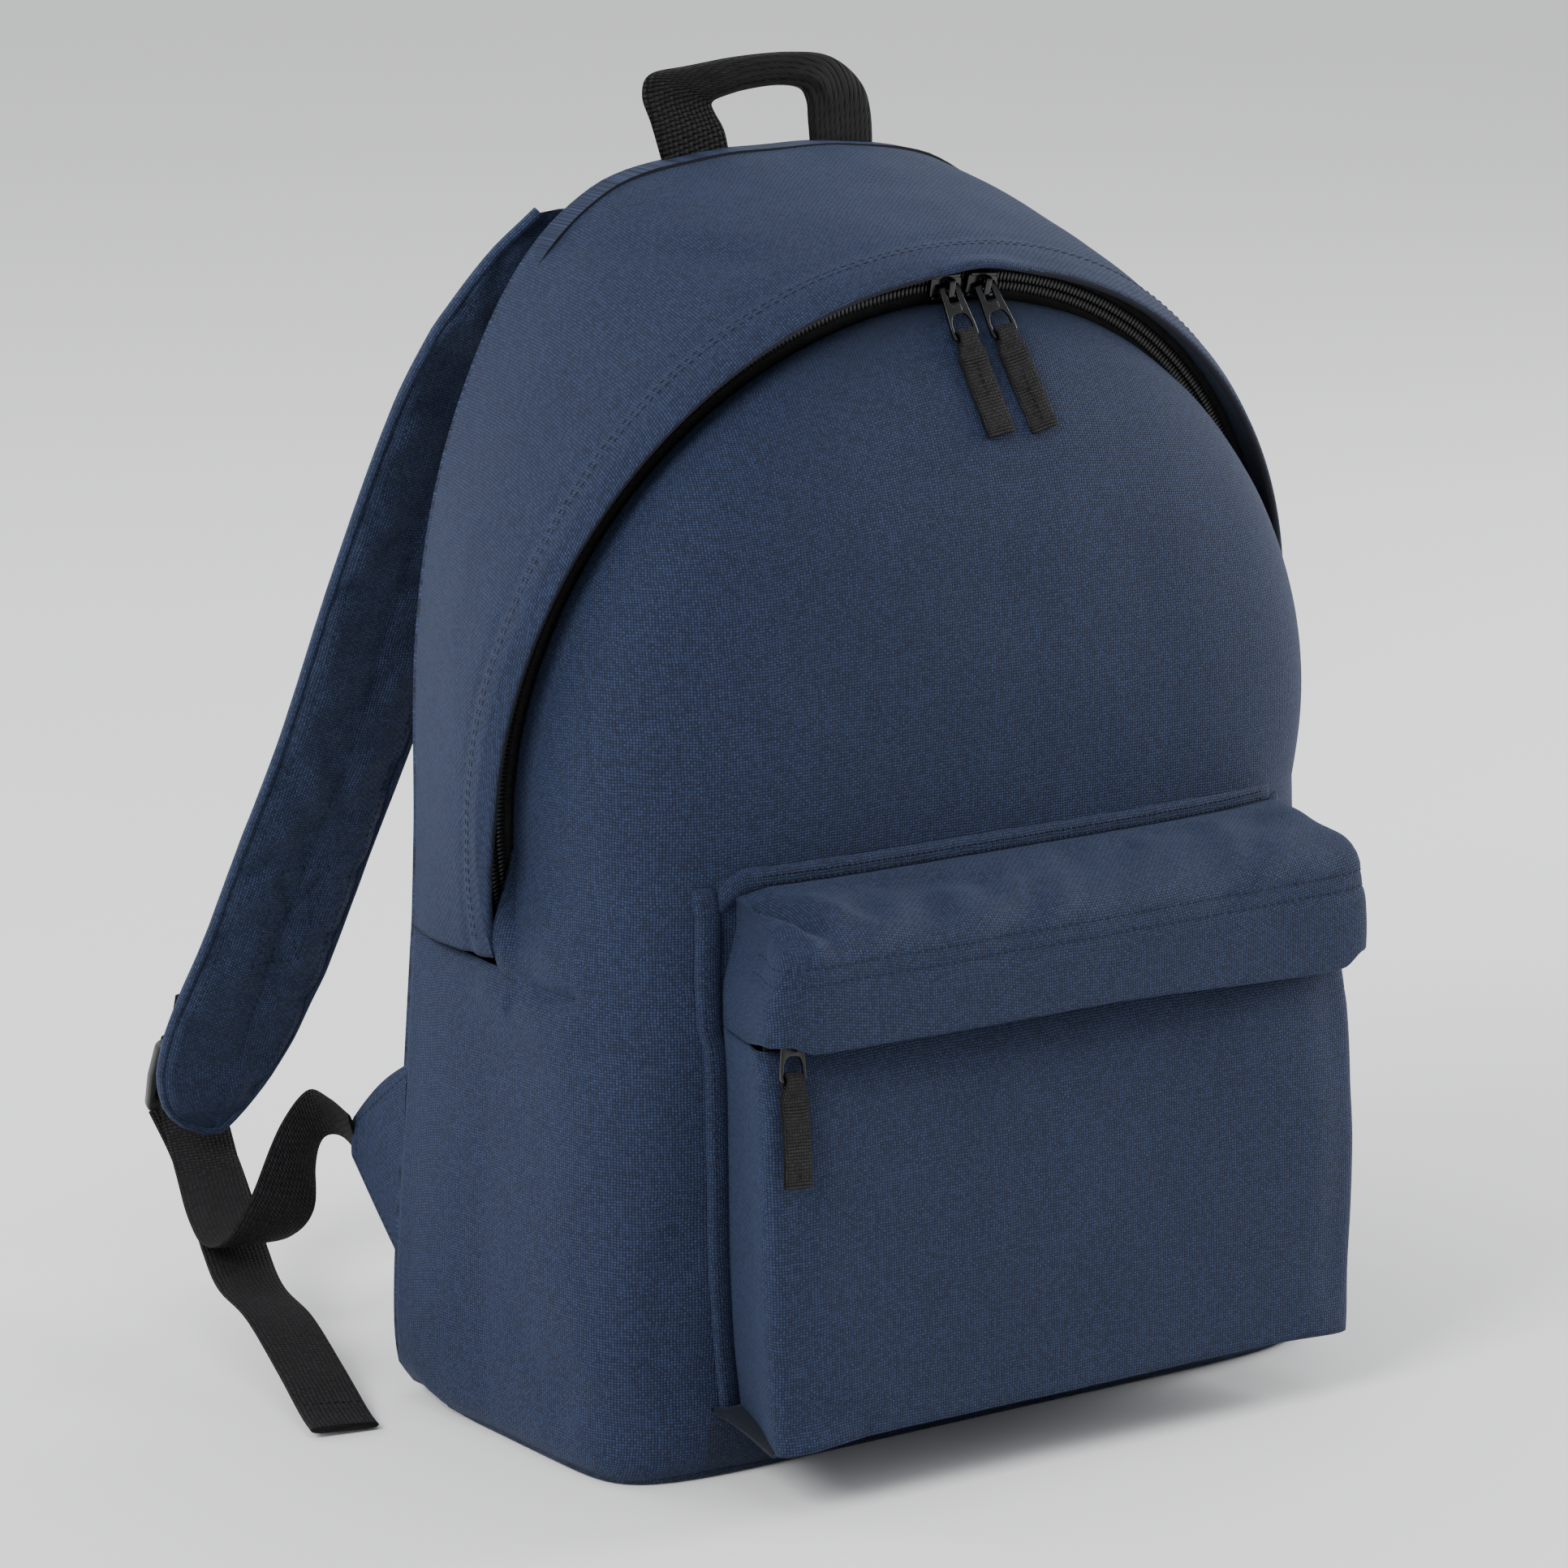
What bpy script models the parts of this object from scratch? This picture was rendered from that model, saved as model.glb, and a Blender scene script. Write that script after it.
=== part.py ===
"""School backpack with an arched main zip, a hooded front pocket and two padded shoulder straps.

Frame: metres, +Z up, +X to the right seen from the front, -Y towards the front, +Y towards the
wearer. The origin is the centre of the base's underside. Each sub-part is one object, and a
moving one has its origin on its joint's axis.
"""

import math

import bmesh
import bpy
import numpy as np
from mathutils import Matrix, Vector

# ---- driving dimensions -------------------------------------------------------------------
GAP = 0.0004  # between touching pieces
CLOTH = 0.0022  # a lined fabric wall
WEBBING = 0.0014
WEBBING_WIDTH = 0.025

BAG_HEIGHT = 0.420
SEAM_Y = 0.0692  # the edge where the gusset and the side walls meet the back panel
BACK_FACE_Y = 0.0724  # outer face of the back panel
BASE_THICKNESS = 0.0030
SIDE_CENTRE_Y = 0.013  # the side walls turn into the front's corners here
SIDE_TOP = 0.1648  # top of the side walls, at the cross seam under the zip's ends
SIDE_SEAM = ((0.0, 0.03, 0.09, SIDE_TOP), (0.1515, 0.1535, 0.1500, 0.1446))  # height, half width
FOLD_Z = 0.2036  # the opened front panel folds forward along this line
FOLD_Y = -0.0745

ZIP_CENTRE = np.array((0.0, -0.003, 0.235))
ZIP_TILT = math.radians(12.7)  # the top of the zip's circle leans forward
ZIP_END = math.radians(102.0)
CHAIN_RADIUS = 0.1550
CHAIN_HALF = 0.0035
TAPE_WIDTH = 0.0042
PANEL_RADIUS = 0.1490
HOOD_RADIUS = 0.1660
HOOD_END = math.radians(114.0)

POCKET_BACK_Y = -0.0748
POCKET_BOTTOM = 0.0235
POCKET_TOP = 0.2016
POCKET_SQUARENESS = 14.0
POCKET_SPLAY = 0.36  # the side walls lean outwards by this much for each metre forward
POCKET_BULGE = 0.003
POCKET_ZIP_Z = 0.1640
POCKET_ZIP_Y = -0.1018
POCKET_ZIP_HALF = 0.1190
POCKET_SLIDER_X = -0.1120
HOOD_LIP_Z = 0.1565
FLANGE_WIDTH = 0.0075

STRAP_WIDTH = 0.060
STRAP_FACE = 0.0012
STRAP_FOAM = 0.0070
STRAP_TURN = math.radians(8)  # the strap turns a little inwards on its way down
STRAP_TIP = 0.010

SLIDER_LENGTH = 0.0125
SLIDER_WIDTH = 0.0085
SLIDER_BASE = 0.0018
BAIL_HEIGHT = 0.0032  # from the slider's underside to the puller's pivot
BAIL_TOP = 0.0056
PULLER_LENGTH = 0.0180
WINDOW_LOW = 0.0161  # the puller's lower bar runs from here to its end
TAB_LENGTH = 0.0400
TAB_WIDTH = 0.0070
MAIN_PULL_LIFT = math.radians(38.0)  # the hanging puller's angle from the zip's plane
POCKET_PULL_LIFT = math.radians(-9.0)
POCKET_PULL_LEAN = math.radians(-5.0)
POCKET_TAB_LIFT = math.radians(-4.0)

COLOURS = {
    "navy": (0.036, 0.056, 0.112),
    "navy_inner": (0.026, 0.040, 0.075),
    "lining": (0.020, 0.024, 0.036),
    "foam": (0.30, 0.30, 0.31),
    "black_webbing": (0.018, 0.017, 0.019),
    "black_tape": (0.012, 0.012, 0.013),
    "black_coil": (0.015, 0.015, 0.016),
    "black_metal": (0.020, 0.020, 0.021),
    "black_plastic": (0.022, 0.022, 0.020),
}
ROUGHNESS = {"black_metal": 0.32, "black_plastic": 0.45, "black_coil": 0.4}


# ---- building helpers ---------------------------------------------------------------------
def material(finish, name):
    """A Principled material of its own for one sub-part."""
    made = bpy.data.materials.new(name)
    made.use_nodes = True
    shader = made.node_tree.nodes["Principled BSDF"]
    shader.inputs["Base Color"].default_value = (*COLOURS[finish], 1.0)
    shader.inputs["Roughness"].default_value = ROUGHNESS.get(finish, 0.85)
    shader.inputs["Metallic"].default_value = 0.8 if finish == "black_metal" else 0.0
    return made


def add_object(name, mesh, finish, pivot=(0, 0, 0)):
    """Links a mesh given in world coordinates, with its origin moved to the pivot."""
    mesh.transform(Matrix.Translation(-Vector(pivot)))
    mesh.materials.append(material(finish, name))
    mesh.shade_smooth()
    mesh.set_sharp_from_angle(angle=math.radians(40))
    made = bpy.data.objects.new(name, mesh)
    made.location = pivot
    bpy.context.collection.objects.link(made)
    return made


def solidify(made, thickness, offset):
    shell = made.modifiers.new("thickness", "SOLIDIFY")
    shell.thickness = thickness
    shell.offset = offset
    return made


def sheet(name, rows, thickness, finish, facing=None, offset=-1.0, pivot=(0, 0, 0)):
    """A closed fabric wall over a grid of points.

    The points are its outer face when facing is given as an (inside point), and its middle
    when offset is 0.
    """
    rows = np.asarray(rows, float)
    down, across = rows.shape[:2]
    points = [tuple(point) for row in rows for point in row]
    faces = [
        (i * across + j, i * across + j + 1, (i + 1) * across + j + 1, (i + 1) * across + j)
        for i in range(down - 1)
        for j in range(across - 1)
    ]
    if facing is not None:
        side_a = rows[:-1, 1:] - rows[:-1, :-1]
        side_b = rows[1:, :-1] - rows[:-1, :-1]
        outward = rows[:-1, :-1] - np.asarray(facing)
        if np.sum(np.cross(side_a, side_b) * outward) < 0:
            faces = [face[::-1] for face in faces]
    mesh = bpy.data.meshes.new(name)
    mesh.from_pydata(points, [], faces)
    return solidify(add_object(name, mesh, finish, pivot), thickness, offset)


def flat_plate(name, loops, thickness, frame, finish, pivot=(0, 0, 0)):
    """A plate of one outer loop and any holes, drawn in the XY plane of frame, centred on it."""
    shape = bmesh.new()
    for loop in loops:
        corners = [shape.verts.new((x, y, 0.0)) for x, y in loop]
        for i, corner in enumerate(corners):
            shape.edges.new((corner, corners[(i + 1) % len(corners)]))
    bmesh.ops.triangle_fill(shape, edges=shape.edges[:], use_beauty=True)
    bmesh.ops.recalc_face_normals(shape, faces=shape.faces[:])
    shape.transform(frame)
    mesh = bpy.data.meshes.new(name)
    shape.to_mesh(mesh)
    shape.free()
    return solidify(add_object(name, mesh, finish, pivot), thickness, 0.0)


def unite(made, other):
    """Joins other to made with a Boolean, and hides other."""
    other.hide_render = True
    other.display_type = "WIRE"
    union = made.modifiers.new("union", "BOOLEAN")
    union.operation = "UNION"
    union.object = other
    return made


def smooth_path(points, count):
    """Rows evenly spaced by their first three columns, on a Catmull-Rom curve through these."""
    points = np.asarray(points, float)
    padded = np.vstack([2 * points[0] - points[1], points, 2 * points[-1] - points[-2]])
    fine = []
    for i in range(len(points) - 1):
        a, b, c, d = padded[i : i + 4]
        for t in np.linspace(0, 1, 24, endpoint=False):
            fine.append(
                b + 0.5 * t * (c - a + t * (2 * a - 5 * b + 4 * c - d + t * (3 * (b - c) + d - a)))
            )
    fine.append(points[-1])
    fine = np.array(fine)
    steps = np.linalg.norm(np.diff(fine[:, :3], axis=0), axis=1)
    along = np.append(0, np.cumsum(steps))
    wanted = np.linspace(0, along[-1], count)
    return np.stack([np.interp(wanted, along, fine[:, k]) for k in range(fine.shape[1])], axis=1)


def axes_matrix(origin, x_axis, y_axis):
    """A frame with its X and Y along the given directions."""
    x_axis = Vector(x_axis).normalized()
    y_axis = (Vector(y_axis) - x_axis * x_axis.dot(Vector(y_axis))).normalized()
    frame = Matrix((x_axis, y_axis, x_axis.cross(y_axis))).transposed().to_4x4()
    frame.translation = Vector(origin)
    return frame


def rounded_rectangle(x_low, x_high, y_low, y_high, radius, steps=2):
    """The loop of a rectangle with arcs at its corners."""
    loop = []
    for quarter, (x, y) in enumerate(
        (
            (x_high - radius, y_high - radius),
            (x_low + radius, y_high - radius),
            (x_low + radius, y_low + radius),
            (x_high - radius, y_low + radius),
        )
    ):
        for k in range(steps + 1):
            turn = math.pi / 2 * (quarter + k / steps)
            loop.append((x + radius * math.cos(turn), y + radius * math.sin(turn)))
    return loop


def circle(x, y, radius, steps):
    turns = [2 * math.pi * k / steps for k in range(steps)]
    return [(x + radius * math.cos(turn), y + radius * math.sin(turn)) for turn in turns]


# ---- the bag's own surfaces ---------------------------------------------------------------
UP_ZIP = np.array((0.0, -math.sin(ZIP_TILT), math.cos(ZIP_TILT)))
OUT_OF_ZIP = np.array((0.0, -math.cos(ZIP_TILT), -math.sin(ZIP_TILT)))
MIDDLE = (0.0, 0.0, 0.2)  # a point inside the bag

FRONT_Z = (0.0, 0.03, 0.10, 0.20, 0.25, 0.30, 0.33, 0.36, 0.3797)
FRONT_Y = (-0.0680, -0.0712, -0.0725, -0.0740, -0.0752, -0.0725, -0.0650, -0.0505, -0.0400)


def front_y(z):
    """The bag's front at its middle, seen from the side."""
    return float(np.interp(z, FRONT_Z, FRONT_Y))


def half_width(z):
    """The half width of the bag below the fold line."""
    return float(np.interp(z, (0.0, 0.03, SIDE_TOP, FOLD_Z), (0.1515, 0.1535, 0.1495, 0.1468)))


def squareness(z):
    return float(np.interp(z, (0.0, 0.05, 0.2, 0.30, 0.38), (8.0, 6.0, 4.5, 3.0, 2.3)))


def corner_curve(half, depth, power, turn):
    """A point on a rounded half box: turn goes from -90 degrees, left, to 90 degrees, right."""
    sine, cosine = math.sin(turn), math.cos(turn)
    reach = (abs(sine) ** power + abs(cosine) ** power) ** (-1 / power)
    return half * reach * sine, depth * reach * cosine


def wall_point(z, turn):
    """A point on the front and sides below the fold line."""
    x, forward = corner_curve(half_width(z), SIDE_CENTRE_Y - front_y(z), squareness(z), turn)
    return np.array((x, SIDE_CENTRE_Y - forward, z))


def on_front(x, z):
    """The wall's y at a given x and z."""
    rise = (1 - abs(x / half_width(z)) ** squareness(z)) ** (1 / squareness(z))
    return SIDE_CENTRE_Y - (SIDE_CENTRE_Y - front_y(z)) * rise


def zip_point(turn, radius, out=0.0):
    """A point on a circle about the zip's axis; turn is 0 at the top and grows to the right."""
    across = np.array((1.0, 0.0, 0.0))
    flat = across * math.sin(turn) + UP_ZIP * math.cos(turn)
    return ZIP_CENTRE + radius * flat + out * OUT_OF_ZIP


ARCH = (
    (0.1444, 0.1654),
    (0.1431, 0.2000),
    (0.1412, 0.2680),
    (0.1290, 0.3280),
    (0.1020, 0.3830),
    (0.0690, 0.4115),
    (0.0300, 0.4195),
)


def arch_outline(count):
    """The back outline from the cross seam on the left, over the top, to the right."""
    left = [(-x, z) for x, z in ARCH]
    return smooth_path([*left, (0.0, BAG_HEIGHT), *ARCH[::-1]], count)


def back_outline(inset, bottom, steps=26):
    """The whole outline of the back panel, as a loop, drawn inwards by inset."""
    arch = arch_outline(steps)
    sides = [(0.1515, bottom), (0.1535, 0.03), (0.1500, 0.09)]
    loop = [(-x, z) for x, z in sides] + [tuple(point) for point in arch] + sides[::-1]
    centre = Vector((0.0, 0.235))
    inner = []
    for x, z in loop:
        away = Vector((x, max(z - centre.y, 0.0))).normalized()
        inner.append((x - inset * away.x, max(z - inset * away.y, bottom)))
    return inner


# ---- main compartment ---------------------------------------------------------------------
def build_back_panel():
    upright = Matrix.Rotation(math.pi / 2, 4, "X")
    layers = (
        ("back_panel_skin", 0.0, 0.0706, BACK_FACE_Y, "navy"),
        ("back_panel_foam", 0.0050, 0.0632, 0.0702, "foam"),
        ("back_panel_lining", 0.0050, 0.0616, 0.0628, "lining"),
    )
    for name, inset, low, high, finish in layers:
        middle = Matrix.Translation((0, (low + high) / 2, 0)) @ upright
        flat_plate(name, [back_outline(inset, BASE_THICKNESS + GAP)], high - low, middle, finish)


def build_base():
    front = [wall_point(0.0, math.radians(turn)) for turn in range(-90, 91, 10)]
    loop = [(p[0], p[1]) for p in front]
    loop += [(loop[-1][0], BACK_FACE_Y), (loop[0][0], BACK_FACE_Y)]
    middle = Matrix.Translation((0, 0, BASE_THICKNESS / 2))
    flat_plate("base_panel", [loop], BASE_THICKNESS, middle, "navy_inner")


def build_lower_wall():
    """The front and both sides below the zip, cut from one cloth with rounded corners."""
    high_turn = 80.0
    turns = [-90, -87.5, *np.linspace(-high_turn, high_turn, 27), 87.5, 90]
    bottom = BASE_THICKNESS + GAP
    rows = []
    for share in (0, 0.1, 0.28, 0.55, 0.8, 1.0):
        row = []
        side_z = bottom + share * (SIDE_TOP - bottom)
        front_z = bottom + share * (FOLD_Z - GAP - bottom)
        back = np.array((float(np.interp(side_z, *SIDE_SEAM)), SEAM_Y, side_z))
        row.append(back * (-1, 1, 1))
        for turn in turns:
            z = front_z if abs(turn) <= high_turn else side_z
            row.append(wall_point(z, math.radians(turn)))
        row.append(back)
        rows.append(row)
    sheet("lower_wall", rows, CLOTH, "navy", facing=MIDDLE)


def build_gusset():
    """The strip round the top and sides; its free front edge hoods the zip."""
    columns = 37
    seam = arch_outline(columns)
    turns = np.linspace(-HOOD_END, HOOD_END, columns)
    rows = []
    for share in (0, 0.25, 0.5, 0.75, 0.92, 1.0):
        row = []
        for (x, z), turn in zip(seam, turns):
            back = np.array((x, SEAM_Y, z))
            hood = zip_point(turn, HOOD_RADIUS, 0.004)
            away = np.array((x, 0.0, max(z - ZIP_CENTRE[2], 0.0)))
            swell = 0.004 * math.sin(math.pi * share) * away / np.linalg.norm(away)
            row.append(back + share * (hood - back) + swell)
        rows.append(row)
    sheet("top_gusset", rows, CLOTH, "navy", facing=MIDDLE)


def build_front_panel():
    """The domed panel inside the zip, which folds forward once the zip is run down."""
    rim_out = 0.0015
    start = math.radians(102.1)
    rows = []
    for turn in np.linspace(start, math.radians(5.0), 15):
        rim = zip_point(turn, PANEL_RADIUS, rim_out)
        half, rim_y, z = rim
        depth = rim_y - front_y(z)
        row = []
        for side in np.linspace(-90, 90, 23):
            x, forward = corner_curve(half, depth, squareness(z), math.radians(side))
            row.append((x, rim_y - forward, z))
        rows.append(row)
    fold = (0.0, FOLD_Y, FOLD_Z)
    sheet("front_panel", rows, CLOTH, "navy", facing=MIDDLE, pivot=fold)


def zip_band(
    name, inner, outer, out, thickness, finish, span=(-ZIP_END, ZIP_END), steps=36, pivot=(0, 0, 0)
):
    """A flat band of the zip, from radius inner to outer, over a span of turns."""
    turns = np.linspace(*span, steps + 1)
    rows = [[zip_point(turn, radius, out) for radius in (inner, outer)] for turn in turns]
    return sheet(name, rows, thickness, finish, offset=0.0, pivot=pivot)


def build_main_zip():
    half_gap = 0.0002
    chain_in = CHAIN_RADIUS - CHAIN_HALF
    chain_out = CHAIN_RADIUS + CHAIN_HALF
    edge = GAP / 2
    coil = (-0.0007, 0.0028, "black_coil")
    tape = (-0.0016, 0.0010, "black_tape")
    fold = (0.0, FOLD_Y, FOLD_Z)
    zip_band("zip_coil_front", chain_in + edge, CHAIN_RADIUS - half_gap, *coil, pivot=fold)
    zip_band("zip_coil_rear", CHAIN_RADIUS + half_gap, chain_out - edge, *coil)
    tape_edge = chain_in - TAPE_WIDTH - 0.003
    zip_band("zip_tape_front", tape_edge, chain_in - edge, *tape, pivot=fold)
    zip_band("zip_tape_rear", chain_out + edge, chain_out + TAPE_WIDTH - 0.0008, *tape)
    for name, sign in (("left", -1), ("right", 1)):
        span = sorted((sign * math.radians(102.6), sign * math.radians(111.0)))
        ends = (chain_in - 0.001, chain_out + 0.0005)
        zip_band(f"zip_end_{name}", *ends, *coil, span=span, steps=4)


# ---- sliders and pulls --------------------------------------------------------------------
def build_slider(name, frame, pivot):
    """A slider body with a bail. In frame, X runs along the zip, Y across it and Z outwards."""
    length, width = SLIDER_LENGTH / 2, SLIDER_WIDTH / 2
    outline = rounded_rectangle(-length, length, -width, width, 0.002)
    raised = frame @ Matrix.Translation((0, 0, SLIDER_BASE / 2))
    body = flat_plate(name, [outline], SLIDER_BASE, raised, "black_metal", pivot)
    outer = rounded_rectangle(-0.0034, 0.0034, SLIDER_BASE - 0.0004, BAIL_TOP, 0.0010)
    inner = rounded_rectangle(-0.0021, 0.0021, SLIDER_BASE + 0.0003, BAIL_TOP - 0.0012, 0.0006)
    across = frame @ Matrix(((0, 0, 1, 0), (1, 0, 0, 0), (0, 1, 0, 0), (0, 0, 0, 1)))
    bail = flat_plate(f"{name}_bail", [outer, inner], 0.0024, across, "black_metal")
    unite(body, bail)


def build_puller(name, frame):
    """A puller plate whose end bar turns in the bail. It hangs along the frame's -Y."""
    outline = [
        (-0.0030, 0.0007),
        (0.0030, 0.0007),
        (0.0033, -0.0060),
        (0.0052, -0.0150),
        (0.0046, -PULLER_LENGTH),
        (-0.0046, -PULLER_LENGTH),
        (-0.0052, -0.0150),
        (-0.0033, -0.0060),
    ]
    eye = rounded_rectangle(-0.0018, 0.0018, -0.0052, -0.0007, 0.0005)
    window = rounded_rectangle(-0.0038, 0.0038, -WINDOW_LOW, -0.0102, 0.0004)
    flat_plate(name, [outline, eye, window], 0.0014, frame, "black_metal", frame.translation)


def build_pull_tab(name, frame):
    """A folded webbing tab looped round the puller's lower bar. It hangs along the frame's -Y."""
    half = 0.0011
    loop_radius = 0.0023
    profile = [(half, -TAB_LENGTH), (half, -0.004)]
    profile += [
        (loop_radius * math.cos(turn), loop_radius * math.sin(turn))
        for turn in np.linspace(math.radians(-50), math.radians(230), 12)
    ]
    profile += [(-half, -0.004), (-half, -TAB_LENGTH)]
    hole = circle(0.0, 0.0, 0.0014, 10)
    side_on = frame @ Matrix(((0, 0, 1, 0), (0, 1, 0, 0), (1, 0, 0, 0), (0, 0, 0, 1)))
    flat_plate(name, [profile, hole], TAB_WIDTH, side_on, "black_webbing", frame.translation)


def build_pull(prefix, slider_frame, joint_pivot, lift, lean, tab_lift):
    """A slider, its puller and its tab.

    lift is the angle between the puller and the zip's plane, and lean turns it sideways.
    """
    build_slider(f"{prefix}_slider", slider_frame, joint_pivot)
    hinge = slider_frame @ Matrix.Translation((0, 0, BAIL_HEIGHT))
    hanging = hinge @ Matrix.Rotation(lean, 4, "Z") @ Matrix.Rotation(lift, 4, "X")
    build_puller(f"{prefix}_puller", hanging)
    bar = hanging @ Matrix.Translation((0, -(PULLER_LENGTH + WINDOW_LOW) / 2, 0))
    build_pull_tab(f"{prefix}_pull_tab", bar @ Matrix.Rotation(tab_lift, 4, "X"))


def build_main_pulls():
    chain_face = 0.0007 + GAP
    for name, turn, lean in (("main_left", -0.8, 0.04), ("main_right", 4.7, 0.20)):
        turn = math.radians(turn)
        origin = zip_point(turn, CHAIN_RADIUS, chain_face)
        along = np.array((math.cos(turn), 0, 0)) - UP_ZIP * math.sin(turn)
        away = np.array((math.sin(turn), 0, 0)) + UP_ZIP * math.cos(turn)
        frame = axes_matrix(origin, along, away)
        build_pull(name, frame, ZIP_CENTRE, -MAIN_PULL_LIFT, lean, 0.0)


# ---- front pocket -------------------------------------------------------------------------
CORNER_TURNS = (0, 12, 24, 32, 38, 42, 45, 48, 52, 58, 68, 79, 90)
POCKET_TURNS = [-turn for turn in CORNER_TURNS[:0:-1]] + list(CORNER_TURNS)

# half width and depth of the pocket at its front, by height
SHELL_PROFILE = (
    (0.1218, 0.0417, 0.0235),
    (0.1238, 0.0395, 0.0500),
    (0.1247, 0.0382, 0.0800),
    (0.1245, 0.0368, 0.1100),
    (0.1240, 0.0348, 0.1350),
    (0.1235, 0.0318, 0.1480),
    (0.1230, 0.0292, 0.1556),
)
HOOD_PROFILE = (
    (0.1160, 0.0022, POCKET_TOP),
    (0.1190, 0.0130, 0.1992),
    (0.1225, 0.0240, 0.1962),
    (0.1255, 0.0330, 0.1922),
    (0.1272, 0.0378, 0.1868),
    (0.1280, 0.0393, 0.1800),
    (0.1285, 0.0398, 0.1700),
    (0.1285, 0.0398, HOOD_LIP_Z),
)


def pocket_point(half, depth, z, turn, bulge=0.0):
    """A point on a U round the pocket: its ends lie on the bag's front."""
    x, forward = corner_curve(half, depth, POCKET_SQUARENESS, math.radians(turn))
    forward += bulge * (1 - (x / half) ** 2)
    x -= math.copysign(POCKET_SPLAY * max(depth - forward, 0.0), x)
    blend_depth = 0.02
    share = max(0.0, 1 - forward / blend_depth)
    on_bag = on_front(x, z) - 0.0008
    return np.array((x, POCKET_BACK_Y - forward + share * (on_bag - POCKET_BACK_Y), z))


def shell_row(z):
    """One level of the pocket's front and sides."""
    halves, depths, heights = zip(*SHELL_PROFILE)
    half = float(np.interp(z, heights, halves))
    depth = float(np.interp(z, heights, depths))
    bulge = POCKET_BULGE * math.sin(math.pi * (z - POCKET_BOTTOM) / (HOOD_LIP_Z - POCKET_BOTTOM))
    return [pocket_point(half, depth, z, turn, bulge) for turn in POCKET_TURNS]


def build_pocket_shell():
    """The pocket's front and sides, in one cloth, below its zip."""
    heights = (POCKET_BOTTOM + 0.0030, 0.05, 0.08, 0.11, 0.135, 0.148, 0.1556)
    sheet("pocket_shell", [shell_row(z) for z in heights], CLOTH, "navy", facing=(0, -0.09, 0.1))


def build_pocket_base():
    thickness = 0.0026
    loop = [(p[0], p[1]) for p in shell_row(POCKET_BOTTOM)]
    xs = np.linspace(loop[-1][0], loop[0][0], 9)[1:-1]
    loop += [(x, on_front(x, POCKET_BOTTOM) - 0.0007) for x in xs]
    middle = Matrix.Translation((0, 0, POCKET_BOTTOM + thickness / 2))
    flat_plate("pocket_base", [loop], thickness, middle, "navy")


def build_pocket_hood():
    """The pocket's top and the lip that hangs over its zip."""
    rows = []
    for half, depth, z in HOOD_PROFILE:
        bulge = POCKET_BULGE * (POCKET_TOP - z) / (POCKET_TOP - HOOD_LIP_Z)
        rows.append([pocket_point(half, depth, z, turn, bulge) for turn in POCKET_TURNS])
    sheet("pocket_hood", rows, CLOTH, "navy", facing=(0, -0.09, 0.15))


def build_pocket_flanges():
    """The seam allowance that stands out from the pocket's sides, flat on the bag's front."""
    heights = np.linspace(POCKET_BOTTOM + 0.001, POCKET_TOP - 0.004, 10)
    halves, depths, levels = zip(*SHELL_PROFILE[:-1], *HOOD_PROFILE[::-1])
    for name, sign in (("left", -1), ("right", 1)):
        rows = []
        for z in heights:
            foot = np.interp(z, levels, halves) - POCKET_SPLAY * np.interp(z, levels, depths)
            xs = foot + 0.0008 + np.linspace(0, FLANGE_WIDTH, 3)
            rows.append([(sign * x, on_front(x, z) - 0.0014, z) for x in xs])
        sheet(f"pocket_flange_{name}", rows, 0.0012, "navy", offset=0.0)


def build_pocket_zip():
    edge = GAP / 2
    tape_low, coil_low = POCKET_ZIP_Z - 0.0080, POCKET_ZIP_Z - CHAIN_HALF
    coil_high, tape_high = POCKET_ZIP_Z + CHAIN_HALF, POCKET_ZIP_Z + 0.0130
    tape = (0.0, 0.0010, "black_tape")
    coil = (0.0009, 0.0028, "black_coil")
    bands = (
        ("pocket_tape_lower", tape_low, coil_low - edge, *tape),
        ("pocket_coil_lower", coil_low + edge, POCKET_ZIP_Z - edge, *coil),
        ("pocket_coil_upper", POCKET_ZIP_Z + edge, coil_high - edge, *coil),
        ("pocket_tape_upper", coil_high + edge, tape_high, *tape),
    )
    xs = (-POCKET_ZIP_HALF, 0.0, POCKET_ZIP_HALF)
    for name, low, high, forward, thickness, finish in bands:
        rows = [[(x, POCKET_ZIP_Y - forward, z) for x in xs] for z in (low, high)]
        sheet(name, rows, thickness, finish, offset=0.0)
    coil_face = POCKET_ZIP_Y - 0.0023 - GAP
    origin = (POCKET_SLIDER_X, coil_face, POCKET_ZIP_Z)
    frame = axes_matrix(origin, (1, 0, 0), (0, 0, 1))
    build_pull("pocket", frame, origin, POCKET_PULL_LIFT, POCKET_PULL_LEAN, POCKET_TAB_LIFT)


# ---- handle -------------------------------------------------------------------------------
def build_handle():
    """The webbing grab handle: flat feet in the top seam and a folded, narrower grip."""
    outer = [(-0.0400, 0.0), (-0.0455, 0.0125), (-0.0475, 0.0215), (-0.0440, 0.0280), (-0.0300, 0.0300)]
    outer += [(-0.0100, 0.0320), (0.0120, 0.0320), (0.0280, 0.0295), (0.0400, 0.0210), (0.0455, 0.0100)]
    outer += [(0.0460, 0.0)]
    inner = [(0.0200, 0.0), (0.0185, 0.0100), (0.0165, 0.0185), (0.0050, 0.0205), (-0.0080, 0.0198)]
    inner += [(-0.0200, 0.0160), (-0.0170, 0.0080), (-0.0130, 0.0)]
    foot = (0.0, 0.0696, BAG_HEIGHT + 0.0016)
    upright = Matrix.Translation(foot) @ Matrix.Rotation(math.pi / 2, 4, "X")
    flat_plate("grab_handle", [outer + inner], 0.0030, upright, "black_webbing", foot)


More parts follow.
